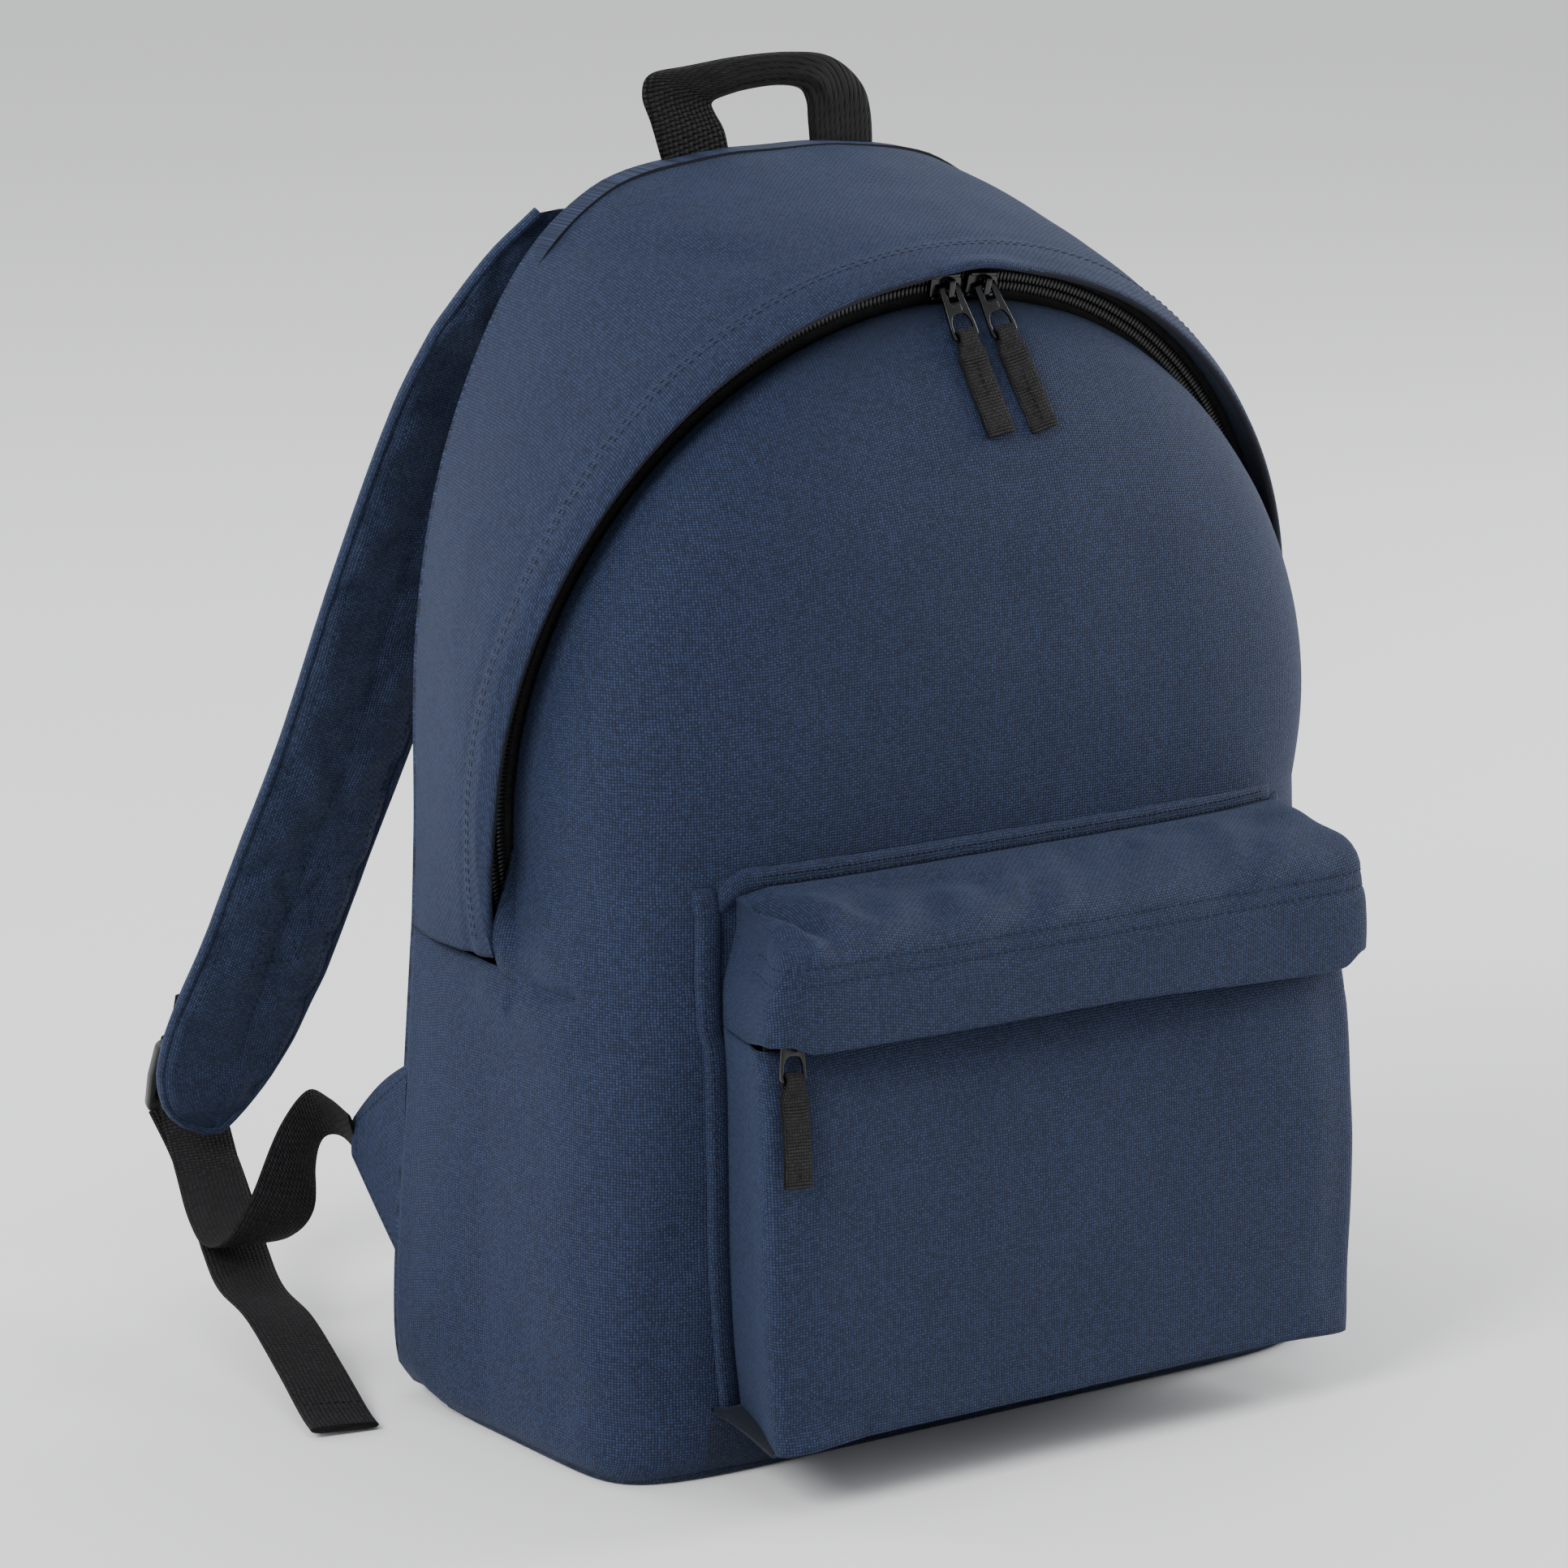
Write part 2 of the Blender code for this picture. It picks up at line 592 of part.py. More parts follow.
# ---- shoulder straps ----------------------------------------------------------------------
STRAP_PATH = (
    (0.0840, 0.0795, 0.4035),
    (0.0905, 0.0905, 0.3700),
    (0.0980, 0.1085, 0.3340),
    (0.1093, 0.1305, 0.2750),
    (0.1207, 0.1475, 0.2160),
    (0.1302, 0.1658, 0.1670),
    (0.1424, 0.1875, 0.1040),
    (0.1475, 0.1955, 0.0760),
)
ADJUSTER_PATH = (
    (0.1472, 0.1045, 0.0830),
    (0.1490, 0.1150, 0.0880),
    (0.1525, 0.1225, 0.0880),
    (0.1570, 0.1265, 0.0770),
    (0.1610, 0.1310, 0.0560),
    (0.1635, 0.1420, 0.0410),
    (0.1635, 0.1590, 0.0345),
    (0.1600, 0.1780, 0.0390),
    (0.1555, 0.1965, 0.0490),
    (0.1520, 0.2120, 0.0600),
    (0.1510, 0.2180, 0.0665),
)
ADJUSTER_WIDTHS = (
    (0.00, -0.08, 1.00),
    (0.15, -0.20, 0.97),
    (0.50, -0.15, 0.85),
    (0.80, 0.05, 0.58),
    (0.93, 0.20, 0.28),
    (0.97, 0.22, 0.05),
    (0.98, 0.20, 0.00),
    (0.985, 0.17, 0.00),
    (0.99, 0.14, 0.00),
    (0.99, 0.14, 0.00),
    (0.99, 0.14, 0.00),
)
TAIL_PATH = (
    (0.1515, 0.2245, 0.0650),
    (0.1545, 0.2130, 0.0510),
    (0.1600, 0.1920, 0.0365),
    (0.1660, 0.1660, 0.0280),
    (0.1712, 0.1370, 0.0245),
    (0.1760, 0.1100, 0.0215),
    (0.1810, 0.0820, 0.0120),
    (0.1870, 0.0560, 0.0042),
    (0.1900, 0.0440, 0.0024),
)


def mirrored(points, sign):
    return np.asarray(points, float) * (sign, 1, 1)


def webbing_ribbon(name, path, widths, steps, sign):
    """A flat strip of webbing along a path, its width along the given directions."""
    track = smooth_path(np.hstack([path, widths]), steps)
    half = WEBBING_WIDTH / 2
    rows = []
    for point, direction in zip(track[:, :3], track[:, 3:]):
        side = half * direction / np.linalg.norm(direction)
        rows.append(mirrored([point - side, point + side], sign))
    sheet(name, rows, WEBBING, "black_webbing", offset=0.0)


def strap_layers(name, sign):
    """The strap's two cloth faces and the foam between them, from the top seam to its tip."""
    line = smooth_path(mirrored(STRAP_PATH, sign), 13)
    turns = np.linspace(0.0, STRAP_TURN, len(line))
    across = np.stack([sign * np.cos(turns), np.sin(turns), 0 * turns], axis=1)
    normals = np.cross(np.gradient(line, axis=0), across)
    normals /= np.linalg.norm(normals, axis=1)[:, None]
    normals *= np.sign(normals[:, 1:2])
    end = line[-1] - line[-2]
    end *= STRAP_TIP / np.linalg.norm(end)
    spread = (STRAP_FOAM + STRAP_FACE) / 2 + GAP
    layers = (
        ("inner_face", -spread, STRAP_FACE, "navy"),
        ("foam", 0.0, STRAP_FOAM, "foam"),
        ("outer_face", spread, STRAP_FACE, "navy"),
    )
    halves = [STRAP_WIDTH / 2] * len(line)
    halves[-2:] = [0.97 * STRAP_WIDTH / 2, 0.82 * STRAP_WIDTH / 2]
    for layer, shift, thickness, finish in layers:
        rows = [
            [point + side * half * share + normal * shift for share in np.linspace(-1, 1, 5)]
            for point, side, half, normal in zip(line, across, halves, normals)
        ]
        last = np.array(rows[-1])
        rows.append(0.5 * (last + last[2]) + end)
        sheet(f"{name}_strap_{layer}", rows, thickness, finish, offset=0.0, pivot=line[0])


def buckle_frame(sign):
    """The ladderlock's frame: origin on its top bar, X across the webbing, Y up the strap."""
    up = Vector((-sign * 0.14, -0.40, 0.90))
    return axes_matrix((sign * 0.1455, 0.2105, 0.0960), (sign * 0.99, 0.14, 0.0), up)


def build_ladderlock(name, sign):
    frame = buckle_frame(sign)
    outline = rounded_rectangle(-0.0165, 0.0165, -0.0290, 0.0020, 0.0035)
    slots = (
        rounded_rectangle(-0.0134, 0.0134, -0.0095, -0.0020, 0.0012),
        rounded_rectangle(-0.0134, 0.0134, -0.0235, -0.0135, 0.0012),
    )
    pivot = frame.translation
    flat_plate(f"{name}_ladderlock", [outline, *slots], 0.0036, frame, "black_plastic", pivot)
    strip_side = frame @ Matrix(((0, 0, 1, 0), (0, 1, 0, 0), (1, 0, 0, 0), (0, 0, 0, 1)))
    ring_out, ring_in = 0.0045, 0.0031
    toward_strap = -1 if (frame.to_3x3() @ Vector((0, 0, 1))).y > 0 else 1
    keeper = [
        (ring_out * math.cos(turn) * toward_strap, ring_out * math.sin(turn))
        for turn in np.linspace(math.radians(-215), math.radians(35), 12)
    ]
    keeper += [(toward_strap * 0.0036, 0.0300), (toward_strap * 0.0016, 0.0300)]
    hole = circle(0.0, 0.0, ring_in, 10)
    loops = [keeper, hole]
    hinge = mirrored(STRAP_PATH[0], sign)
    flat_plate(
        f"{name}_buckle_keeper", loops, WEBBING_WIDTH, strip_side, "black_webbing", hinge
    )
    build_webbing_turn(name, frame)


def build_webbing_turn(name, frame):
    """The webbing's turn over the ladderlock's middle bar, with a leg on each side of the lower."""
    reach, top, low = 0.0029, -0.0100, -0.0295
    arc = np.linspace(0, math.pi, 9)
    loop = [(0.0, low, reach)] + [
        (0.0, top + reach * math.sin(turn), reach * math.cos(turn)) for turn in arc
    ]
    loop.append((0.0, low, -reach))
    centre = [np.array(frame @ Vector(point)) for point in loop]
    half = np.array(frame.to_3x3() @ Vector((WEBBING_WIDTH / 2, 0, 0)))
    rows = [[point - half, point + half] for point in centre]
    pivot = frame.translation
    sheet(f"{name}_webbing_turn", rows, 0.0010, "black_webbing", offset=0.0, pivot=pivot)


def build_anchor_tab(name, sign):
    """The triangular cloth tab in the side seam that holds the adjusting webbing."""
    top = np.array((0.1495, SEAM_Y + 0.0050, 0.1180))
    bottom = np.array((0.1520, SEAM_Y + 0.0050, 0.0450))
    tip_high = np.array((0.1472, 0.1015, 0.0955))
    tip_low = np.array((0.1472, 0.1035, 0.0705))
    rows = []
    for out in (0.0, 0.5, 1.0):
        high = top + out * (tip_high - top)
        low = bottom + out * (tip_low - bottom)
        row = [high + share * (low - high) for share in np.linspace(0, 1, 4)]
        rows.append(mirrored(row, sign))
    sheet(f"{name}_anchor_tab", rows, 0.0024, "navy", offset=0.0)


def build_strap(name, sign):
    strap_layers(name, sign)
    build_ladderlock(name, sign)
    build_anchor_tab(name, sign)
    webbing_ribbon(f"{name}_adjuster", ADJUSTER_PATH, ADJUSTER_WIDTHS, 26, sign)
    flat = [(0.985, 0.17, 0.0)] * len(TAIL_PATH)
    webbing_ribbon(f"{name}_webbing_tail", TAIL_PATH, flat, 18, sign)


def clear_scene():
    for item in list(bpy.data.objects):
        bpy.data.objects.remove(item)


def build_backpack():
    clear_scene()
    build_back_panel()
    build_base()
    build_lower_wall()
    build_gusset()
    build_front_panel()
    build_main_zip()
    build_main_pulls()
    build_pocket_shell()
    build_pocket_base()
    build_pocket_hood()
    build_pocket_flanges()
    build_pocket_zip()
    build_handle()
    for name, sign in (("left", -1), ("right", 1)):
        build_strap(name, sign)


build_backpack()
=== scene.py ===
"""The school backpack's looks: cloth, webbing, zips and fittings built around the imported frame.

Metres, +Z up, -Y towards the front. Cloth pieces carry a UV map in metres, so that every weave
has its real pitch.
"""

import math

import bmesh
import bpy
import numpy as np
from mathutils import Matrix, Vector, noise
from mathutils.bvhtree import BVHTree


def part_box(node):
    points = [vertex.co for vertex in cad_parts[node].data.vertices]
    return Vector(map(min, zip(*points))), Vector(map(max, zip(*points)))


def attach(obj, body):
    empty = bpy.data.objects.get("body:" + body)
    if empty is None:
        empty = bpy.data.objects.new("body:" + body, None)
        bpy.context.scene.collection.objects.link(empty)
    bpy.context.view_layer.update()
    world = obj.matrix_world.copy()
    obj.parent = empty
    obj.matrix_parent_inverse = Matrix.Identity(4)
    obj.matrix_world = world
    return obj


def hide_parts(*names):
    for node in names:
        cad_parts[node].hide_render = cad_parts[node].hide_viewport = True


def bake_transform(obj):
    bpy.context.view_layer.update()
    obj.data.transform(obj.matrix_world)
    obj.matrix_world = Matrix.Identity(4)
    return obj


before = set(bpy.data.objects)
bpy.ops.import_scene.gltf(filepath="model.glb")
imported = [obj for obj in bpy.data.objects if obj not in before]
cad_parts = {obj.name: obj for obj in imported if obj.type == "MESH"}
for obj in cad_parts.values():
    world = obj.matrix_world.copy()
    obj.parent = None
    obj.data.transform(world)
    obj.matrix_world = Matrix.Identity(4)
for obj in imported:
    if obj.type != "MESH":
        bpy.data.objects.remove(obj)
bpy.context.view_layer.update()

# ---- sizes of the frame -------------------------------------------------------------------
BAG_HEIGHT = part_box("back_panel_skin")[1].z
BACK_FACE_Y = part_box("back_panel_skin")[1].y
SEAM_Y = 0.0692
BOTTOM = 0.0012  # lower edge of the wall's cloth
BASE_THICK = 0.0034
BACK_LINING_Y = 0.0606
SIDE_CENTRE_Y = 0.013
SIDE_TOP = 0.1648
SIDE_SEAM = ((0.0, 0.03, 0.09, SIDE_TOP), (0.1515, 0.1535, 0.1500, 0.1446))
FOLD_Z = 0.2036

ZIP_CENTRE = np.array((0.0, -0.003, 0.235))
ZIP_TILT = math.radians(12.7)
ZIP_COVERED = math.radians(109.0)
CHAIN_RADIUS = 0.1550
CHAIN_HALF = 0.0035
PANEL_RADIUS = 0.1490
HOOD_RADIUS = 0.1660
HOOD_OUT = 0.004
HOOD_END = math.radians(114.0)
HOOD_ROLL = 0.0016
UP_ZIP = np.array((0.0, -math.sin(ZIP_TILT), math.cos(ZIP_TILT)))
OUT_OF_ZIP = np.array((0.0, -math.cos(ZIP_TILT), -math.sin(ZIP_TILT)))

POCKET_BACK_Y = -0.0748
POCKET_BOTTOM = 0.0235
POCKET_TOP = 0.2016
POCKET_SQUARENESS = 14.0
POCKET_SPLAY = 0.36
POCKET_BULGE = 0.003
POCKET_ZIP_Z = 0.1640
POCKET_ZIP_Y = -0.1018
POCKET_SLIDER_X = -0.1120
HOOD_LIP_Z = 0.1565
FLANGE_WIDTH = 0.0075
POCKET_HOOD_ROLL = 0.0011
POCKET_HOOD_SEAMS = (0.1838, 0.1785)

WEBBING_WIDTH = 0.025
WEBBING_HALF_THICK = 0.0007
LOOP_HALF_THICK = 0.0006
STRAP_HALF_THICK = 0.0050
STRAP_TURN = math.radians(8)
STRAP_TIP = 0.010

SLIDER_BASE = 0.0018
BAIL_HEIGHT = 0.0032
BAIL_TOP = 0.0056
PULLER_LENGTH = 0.0180
WINDOW_LOW = 0.0161
TAB_LENGTH = 0.0400
MAIN_PULL_LIFT = math.radians(38.0)
POCKET_PULL_LIFT = math.radians(-9.0)
POCKET_PULL_LEAN = math.radians(-5.0)
POCKET_TAB_LIFT = math.radians(-4.0)

MIDDLE = (0.0, 0.0, 0.2)
SIDES = (("left", -1), ("right", 1))


# ---- materials ----------------------------------------------------------------------------
class Graph:
    """A material with a Principled shader, and short calls that add nodes to it."""

    def __init__(self, name, **sockets):
        self.material = bpy.data.materials.new(name)
        self.material.use_nodes = True
        self.tree = self.material.node_tree
        self.shader = self.tree.nodes["Principled BSDF"]
        for socket, value in sockets.items():
            self.shader.inputs[socket.replace("_", " ")].default_value = value

    def node(self, kind, inputs=(), **settings):
        made = self.tree.nodes.new(kind)
        for setting, value in settings.items():
            setattr(made, setting, value)
        for i, value in enumerate(inputs):
            if isinstance(value, bpy.types.NodeSocket):
                self.tree.links.new(value, made.inputs[i])
            elif value is not None:
                made.inputs[i].default_value = value
        return made

    def math(self, operation, *inputs):
        return self.node("ShaderNodeMath", inputs, operation=operation).outputs[0]

    def noise(self, vector, scale, detail=3.0):
        made = self.node("ShaderNodeTexNoise", (vector,))
        made.inputs["Scale"].default_value = scale
        made.inputs["Detail"].default_value = detail
        return made.outputs["Fac"]

    def spread(self, value, low, high):
        """Maps 0..1 to low..high."""
        return self.math("MULTIPLY_ADD", value, high - low, low)

    def tinted(self, colour, shade):
        """The colour times a shade, into the base colour."""
        mix = self.node("ShaderNodeMix", data_type="RGBA", blend_type="MULTIPLY")
        mix.inputs["Factor"].default_value = 1.0
        mix.inputs["A"].default_value = (*colour, 1.0)
        self.tree.links.new(shade, mix.inputs["B"])
        self.tree.links.new(mix.outputs["Result"], self.shader.inputs["Base Color"])

    def bump(self, height, distance, strength=1.0):
        made = self.node("ShaderNodeBump")
        made.inputs["Strength"].default_value = strength
        made.inputs["Distance"].default_value = distance
        self.tree.links.new(height, made.inputs["Height"])
        self.tree.links.new(made.outputs["Normal"], self.shader.inputs["Normal"])

    def roughness(self, value):
        self.tree.links.new(value, self.shader.inputs["Roughness"])


def thread_grid(graph, pitch_u, pitch_v, group=1.0, wave=0.0018):
    """Thread profiles across a UV map in metres: the height, and a random value for each thread."""
    uv = graph.node("ShaderNodeUVMap", uv_map="weave").outputs[0]
    drift = graph.node("ShaderNodeTexNoise", (uv,))
    drift.inputs["Scale"].default_value = 90.0
    drift.inputs["Detail"].default_value = 4.0
    shifted = graph.node("ShaderNodeVectorMath", (drift.outputs["Color"], (0.5, 0.5, 0.5)),
                         operation="SUBTRACT").outputs[0]
    wander = graph.node("ShaderNodeVectorMath", (shifted, (wave, wave, 0.0), uv),
                        operation="MULTIPLY_ADD").outputs[0]
    parts = graph.node("ShaderNodeSeparateXYZ", (wander,)).outputs
    profiles, cells = [], []
    for part, pitch in ((parts[0], pitch_u), (parts[1], pitch_v)):
        scaled = graph.math("DIVIDE", part, pitch)
        swing = graph.math("SINE", graph.math("MULTIPLY", scaled, math.pi))
        profiles.append(graph.math("ABSOLUTE", swing))
        cells.append(graph.math("FLOOR", graph.math("DIVIDE", scaled, group)))
    parity = graph.math("FLOORED_MODULO", graph.math("ADD", *cells), 2.0)
    warp = graph.math("MULTIPLY", profiles[0], graph.spread(profiles[1], 0.55, 1.0))
    weft = graph.math("MULTIPLY", profiles[1], graph.spread(profiles[0], 0.55, 1.0))
    height = graph.math(
        "ADD",
        graph.math("MULTIPLY", warp, parity),
        graph.math("MULTIPLY", weft, graph.math("SUBTRACT", 1.0, parity)),
    )
    cell = graph.node("ShaderNodeCombineXYZ", cells).outputs[0]
    random = graph.node("ShaderNodeTexWhiteNoise", (cell,), noise_dimensions="3D").outputs[0]
    return uv, height, random, parity


def woven_cloth(name, colour, depth=0.00022, pitch=0.00104):
    """Plain-weave polyester: round threads, uneven thread tones and slow dye variation, with painted
    highlights on the thread tops and painted shade in the gaps between threads.
    """
    graph = Graph(name, Roughness=0.78)
    graph.shader.inputs["Sheen Weight"].default_value = 0.05
    graph.shader.inputs["Sheen Roughness"].default_value = 0.45
    graph.shader.inputs["Sheen Tint"].default_value = (0.45, 0.62, 1.0, 1.0)
    graph.shader.inputs["Specular IOR Level"].default_value = 0.22
    uv, height, random, parity = thread_grid(graph, pitch, pitch * 0.9)
    place = graph.node("ShaderNodeTexCoord").outputs["Object"]
    patches = graph.spread(graph.noise(place, 16.0, 4.0), 0.88, 1.12)
    slubs = graph.spread(graph.noise(uv, 420.0, 2.0), 0.86, 1.14)
    threads = graph.spread(random, 0.70, 1.30)
    # painted light: thread height makes the thread tops lighter and the gaps darker, over the real
    # thread tones
    shade = graph.math("MULTIPLY", graph.spread(height, 0.16, 1.75), threads)
    shade = graph.math("MULTIPLY", shade, graph.math("MULTIPLY", patches, slubs))
    shade = graph.math("MULTIPLY", shade, graph.spread(parity, 0.94, 1.08))
    graph.tinted(colour, shade)
    graph.bump(height, depth, 0.9)
    return graph.material


def webbing(name, colour, pitch_u, pitch_v, depth, group=1.0, roughness=0.72):
    """Woven webbing: coarse round yarns, with painted highlights on the yarn tops and painted shade
    between the yarns.
    """
    graph = Graph(name, Roughness=roughness)
    graph.shader.inputs["Specular IOR Level"].default_value = 0.14
    uv, height, random, _ = thread_grid(graph, pitch_u, pitch_v, group)
    fibres = graph.spread(graph.noise(uv, 3000.0, 2.0), 0.75, 1.25)
    # painted light: yarn height makes the yarn tops lighter and the gaps darker, over the real yarn
    # tones
    shade = graph.math("MULTIPLY", graph.spread(height, 0.12, 1.75), graph.spread(random, 0.75, 1.25))
    graph.tinted(colour, graph.math("MULTIPLY", shade, fibres))
    graph.bump(height, depth, 1.0)
    return graph.material


def hard(name, colour, roughness, metallic, grain, grain_scale, wear=0.06, coat=0.0):
    """Painted metal or moulded plastic: fine grain, uneven gloss and a little handling wear."""
    graph = Graph(name, Metallic=metallic)
    graph.shader.inputs["Coat Weight"].default_value = coat
    graph.shader.inputs["Coat Roughness"].default_value = 0.18
    place = graph.node("ShaderNodeTexCoord").outputs["Object"]
    fine = graph.noise(place, grain_scale, 3.0)
    broad = graph.noise(place, 180.0, 4.0)
    graph.tinted(colour, graph.spread(broad, 1 - 4 * wear, 1 + 4 * wear))
    graph.roughness(graph.spread(broad, roughness - wear, roughness + wear))
    graph.bump(fine, grain, 0.6)
    return graph.material


def cellular(name, colour):
    """Closed-cell foam."""
    graph = Graph(name, Roughness=0.9)
    place = graph.node("ShaderNodeTexCoord").outputs["Object"]
    cells = graph.node("ShaderNodeTexVoronoi", (place,))
    cells.inputs["Scale"].default_value = 900.0
    graph.tinted(colour, graph.spread(cells.outputs["Distance"], 0.8, 1.1))
    graph.bump(cells.outputs["Distance"], 0.0003)
    return graph.material


NAVY = (0.0108, 0.0176, 0.0430)
MATERIALS = {
    "cloth": woven_cloth("cloth", NAVY),
    "strap_cloth": woven_cloth("strap_cloth", (0.0140, 0.0220, 0.0500)),
    # darker navy of the base, also used as painted shadow on the wall under the pocket
    "base_and_shade_cloth": woven_cloth("base_and_shade_cloth", (0.0090, 0.0135, 0.0290)),
    "lining": woven_cloth("lining", (0.006, 0.007, 0.011), depth=0.00006, pitch=0.0004),
    "thread": woven_cloth("thread", (0.0100, 0.0150, 0.0320), pitch=0.0003),
    "black_webbing": webbing("black_webbing", (0.0100, 0.0096, 0.0106), 0.0016, 0.0013, 0.00045),
    "grip_webbing": webbing("grip_webbing", (0.0105, 0.0102, 0.0109), 0.0021, 0.0018, 0.00080),
    "tab_webbing": webbing("tab_webbing", (0.0150, 0.0145, 0.0152), 0.0010, 0.00115, 0.00045),
    "black_thread": webbing("black_thread", (0.0050, 0.0050, 0.0054), 0.0003, 0.0003, 0.00005),
    "zip_tape": webbing("zip_tape", (0.0075, 0.0075, 0.0080), 0.0008, 0.0008, 0.00012, 2.0),
    "coil": hard("coil", (0.0050, 0.0050, 0.0054), 0.42, 0.0, 0.00002, 5000.0),
    "metal": hard("metal", (0.0070, 0.0070, 0.0076), 0.26, 0.7, 0.00001, 2600.0, coat=0.4),
    "plastic": hard("plastic", (0.0140, 0.0145, 0.0140), 0.42, 0.0, 0.00004, 2200.0),
    "foam": cellular("foam", (0.28, 0.28, 0.29)),
}


# ---- curves and surfaces ------------------------------------------------------------------
def smooth_step(share):
    share = np.clip(share, 0, 1)
    return share * share * (3 - 2 * share)


def edge_fade(count, reach):
    """Zero at both ends of a row of points, and one from reach points inwards."""
    steps = np.arange(count)
    return smooth_step(np.minimum(steps, steps[::-1]) / reach)


def rolled_edge(edge, out, ahead, radius, steps):
    """Rows that roll an edge by half a turn, from out over ahead to the inside."""
    centre = edge - radius * out
    return [
        centre + radius * (math.cos(a) * out + math.sin(a) * ahead)
        for a in np.linspace(0, math.pi, steps)[1:]
    ]


def eased(x, xs, ys):
    """A smooth monotone curve through the points xs, ys, read at x."""
    xs, ys = np.asarray(xs, float), np.asarray(ys, float)
    x = np.clip(np.asarray(x, float), xs[0], xs[-1])
    step = np.diff(xs)
    slope = np.diff(ys) / step
    tangent = np.zeros(len(xs))
    product = slope[:-1] * slope[1:]
    both = np.where(product > 0, slope[:-1] + slope[1:], 1.0)
    tangent[1:-1] = np.where(product > 0, 2 * product / both, 0.0)
    tangent[0], tangent[-1] = slope[0], slope[-1]
    i = np.clip(np.searchsorted(xs, x) - 1, 0, len(step) - 1)
    t = (x - xs[i]) / step[i]
    return (
        (1 + 2 * t) * (1 - t) ** 2 * ys[i]
        + t * (1 - t) ** 2 * step[i] * tangent[i]
        + t * t * (3 - 2 * t) * ys[i + 1]
        + t * t * (t - 1) * step[i] * tangent[i + 1]
    )


def smooth_path(points, count):
    """Rows evenly spaced by their first three columns, on a Catmull-Rom curve through these."""
    points = np.asarray(points, float)
    padded = np.vstack([2 * points[0] - points[1], points, 2 * points[-1] - points[-2]])
    fine = []
    for i in range(len(points) - 1):
        a, b, c, d = padded[i : i + 4]
        for t in np.linspace(0, 1, 24, endpoint=False):
            fine.append(
                b + 0.5 * t * (c - a + t * (2 * a - 5 * b + 4 * c - d + t * (3 * (b - c) + d - a)))
            )
    fine.append(points[-1])
    return evenly(np.array(fine), count)


def evenly(points, count):
    """The same polyline with its points evenly spaced."""
    steps = np.linalg.norm(np.diff(points[:, :3], axis=0), axis=1)
    along = np.append(0, np.cumsum(steps))
    wanted = np.linspace(0, along[-1], count)
    return np.stack(
        [np.interp(wanted, along, points[:, k]) for k in range(points.shape[1])], axis=1
    )


def unit(vectors):
    return vectors / np.maximum(np.linalg.norm(vectors, axis=-1, keepdims=True), 1e-12)


def grid_normals(points, inside):
    """Unit normals of a grid of points, facing away from the inside point."""
    normals = unit(np.cross(np.gradient(points, axis=1), np.gradient(points, axis=0)))
    if np.sum(normals * (points - np.asarray(inside))) < 0:
        normals = -normals
    return normals


def metric_uv(points):
    """Arc lengths along the rows, from their middle, and along the columns."""
    across = np.linalg.norm(np.diff(points, axis=1), axis=2)
    u = np.concatenate([np.zeros((len(points), 1)), np.cumsum(across, axis=1)], axis=1)
    u -= u[:, [points.shape[1] // 2]]
    along = np.linalg.norm(np.diff(points, axis=0), axis=2)
    v = np.concatenate([np.zeros((1, points.shape[1])), np.cumsum(along, axis=0)], axis=0)
    return np.stack([u, v], axis=2)


def distance_to(points, path):
    """The distance of each grid point to a curve through the path's points."""
    track = smooth_path(path, 60)
    flat = points.reshape(-1, 3)
    best = np.full(len(flat), 1e9)
    for spot in track:
        best = np.minimum(best, np.linalg.norm(flat - spot, axis=1))
    return best.reshape(points.shape[:2])


def fold_along(points, path, depth, width):
    """The inward depth of a crease along a path."""
    return depth * np.exp(-((distance_to(points, path) / width) ** 2))


def unevenness(points, size, seed, stretch=(1.0, 1.0, 1.0)):
    """Smooth noise of about -1 to 1 with the given feature size."""
    offset = Vector((seed * 7.31, seed * 3.17, seed * 5.71))
    scale = np.array(stretch) / size
    flat = points.reshape(-1, 3) * scale
    return np.array([noise.noise(Vector(p) + offset) for p in flat]).reshape(points.shape[:2])


# ---- mesh helpers -------------------------------------------------------------------------
def link(name, mesh, materials):
    for item in materials:
        mesh.materials.append(MATERIALS[item])
    made = bpy.data.objects.new(name, mesh)
    bpy.context.scene.collection.objects.link(made)
    return made


def new_mesh(name, points, faces):
    mesh = bpy.data.meshes.new(name)
    mesh.from_pydata(points, [], [tuple(int(i) for i in face) for face in faces])
    return mesh


def weave_map(mesh, uvs):
    """A UV map with one value for each face corner."""
    layer = mesh.uv_layers.new(name="weave")
    layer.data.foreach_set("uv", np.array(uvs, np.float32).ravel())


def weave_by_point(mesh, flat):
    """A UV map with one value for each point."""
    picked = np.zeros(len(mesh.loops), np.int32)
    mesh.loops.foreach_get("vertex_index", picked)
    weave_map(mesh, flat[picked])


def faced_out(mesh):
    """Turns the faces of closed pieces outwards, with smooth shading."""
    shape = bmesh.new()
    shape.from_mesh(mesh)
    bmesh.ops.recalc_face_normals(shape, faces=shape.faces[:])
    shape.to_mesh(mesh)
    shape.free()
    mesh.shade_smooth()


def stand_in(made, body, *nodes):
    """A rigid piece in place of the frame's nodes: it hides them and rides a body."""
    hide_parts(*nodes)
    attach(made, body)


def tidy_mesh(mesh, merge=1e-6, sharp=50):
    shape = bmesh.new()
    shape.from_mesh(mesh)
    bmesh.ops.remove_doubles(shape, verts=shape.verts[:], dist=merge)
    bmesh.ops.dissolve_degenerate(shape, edges=shape.edges[:], dist=merge)
    shape.to_mesh(mesh)
    shape.free()
    mesh.shade_smooth()
    mesh.set_sharp_from_angle(angle=math.radians(sharp))


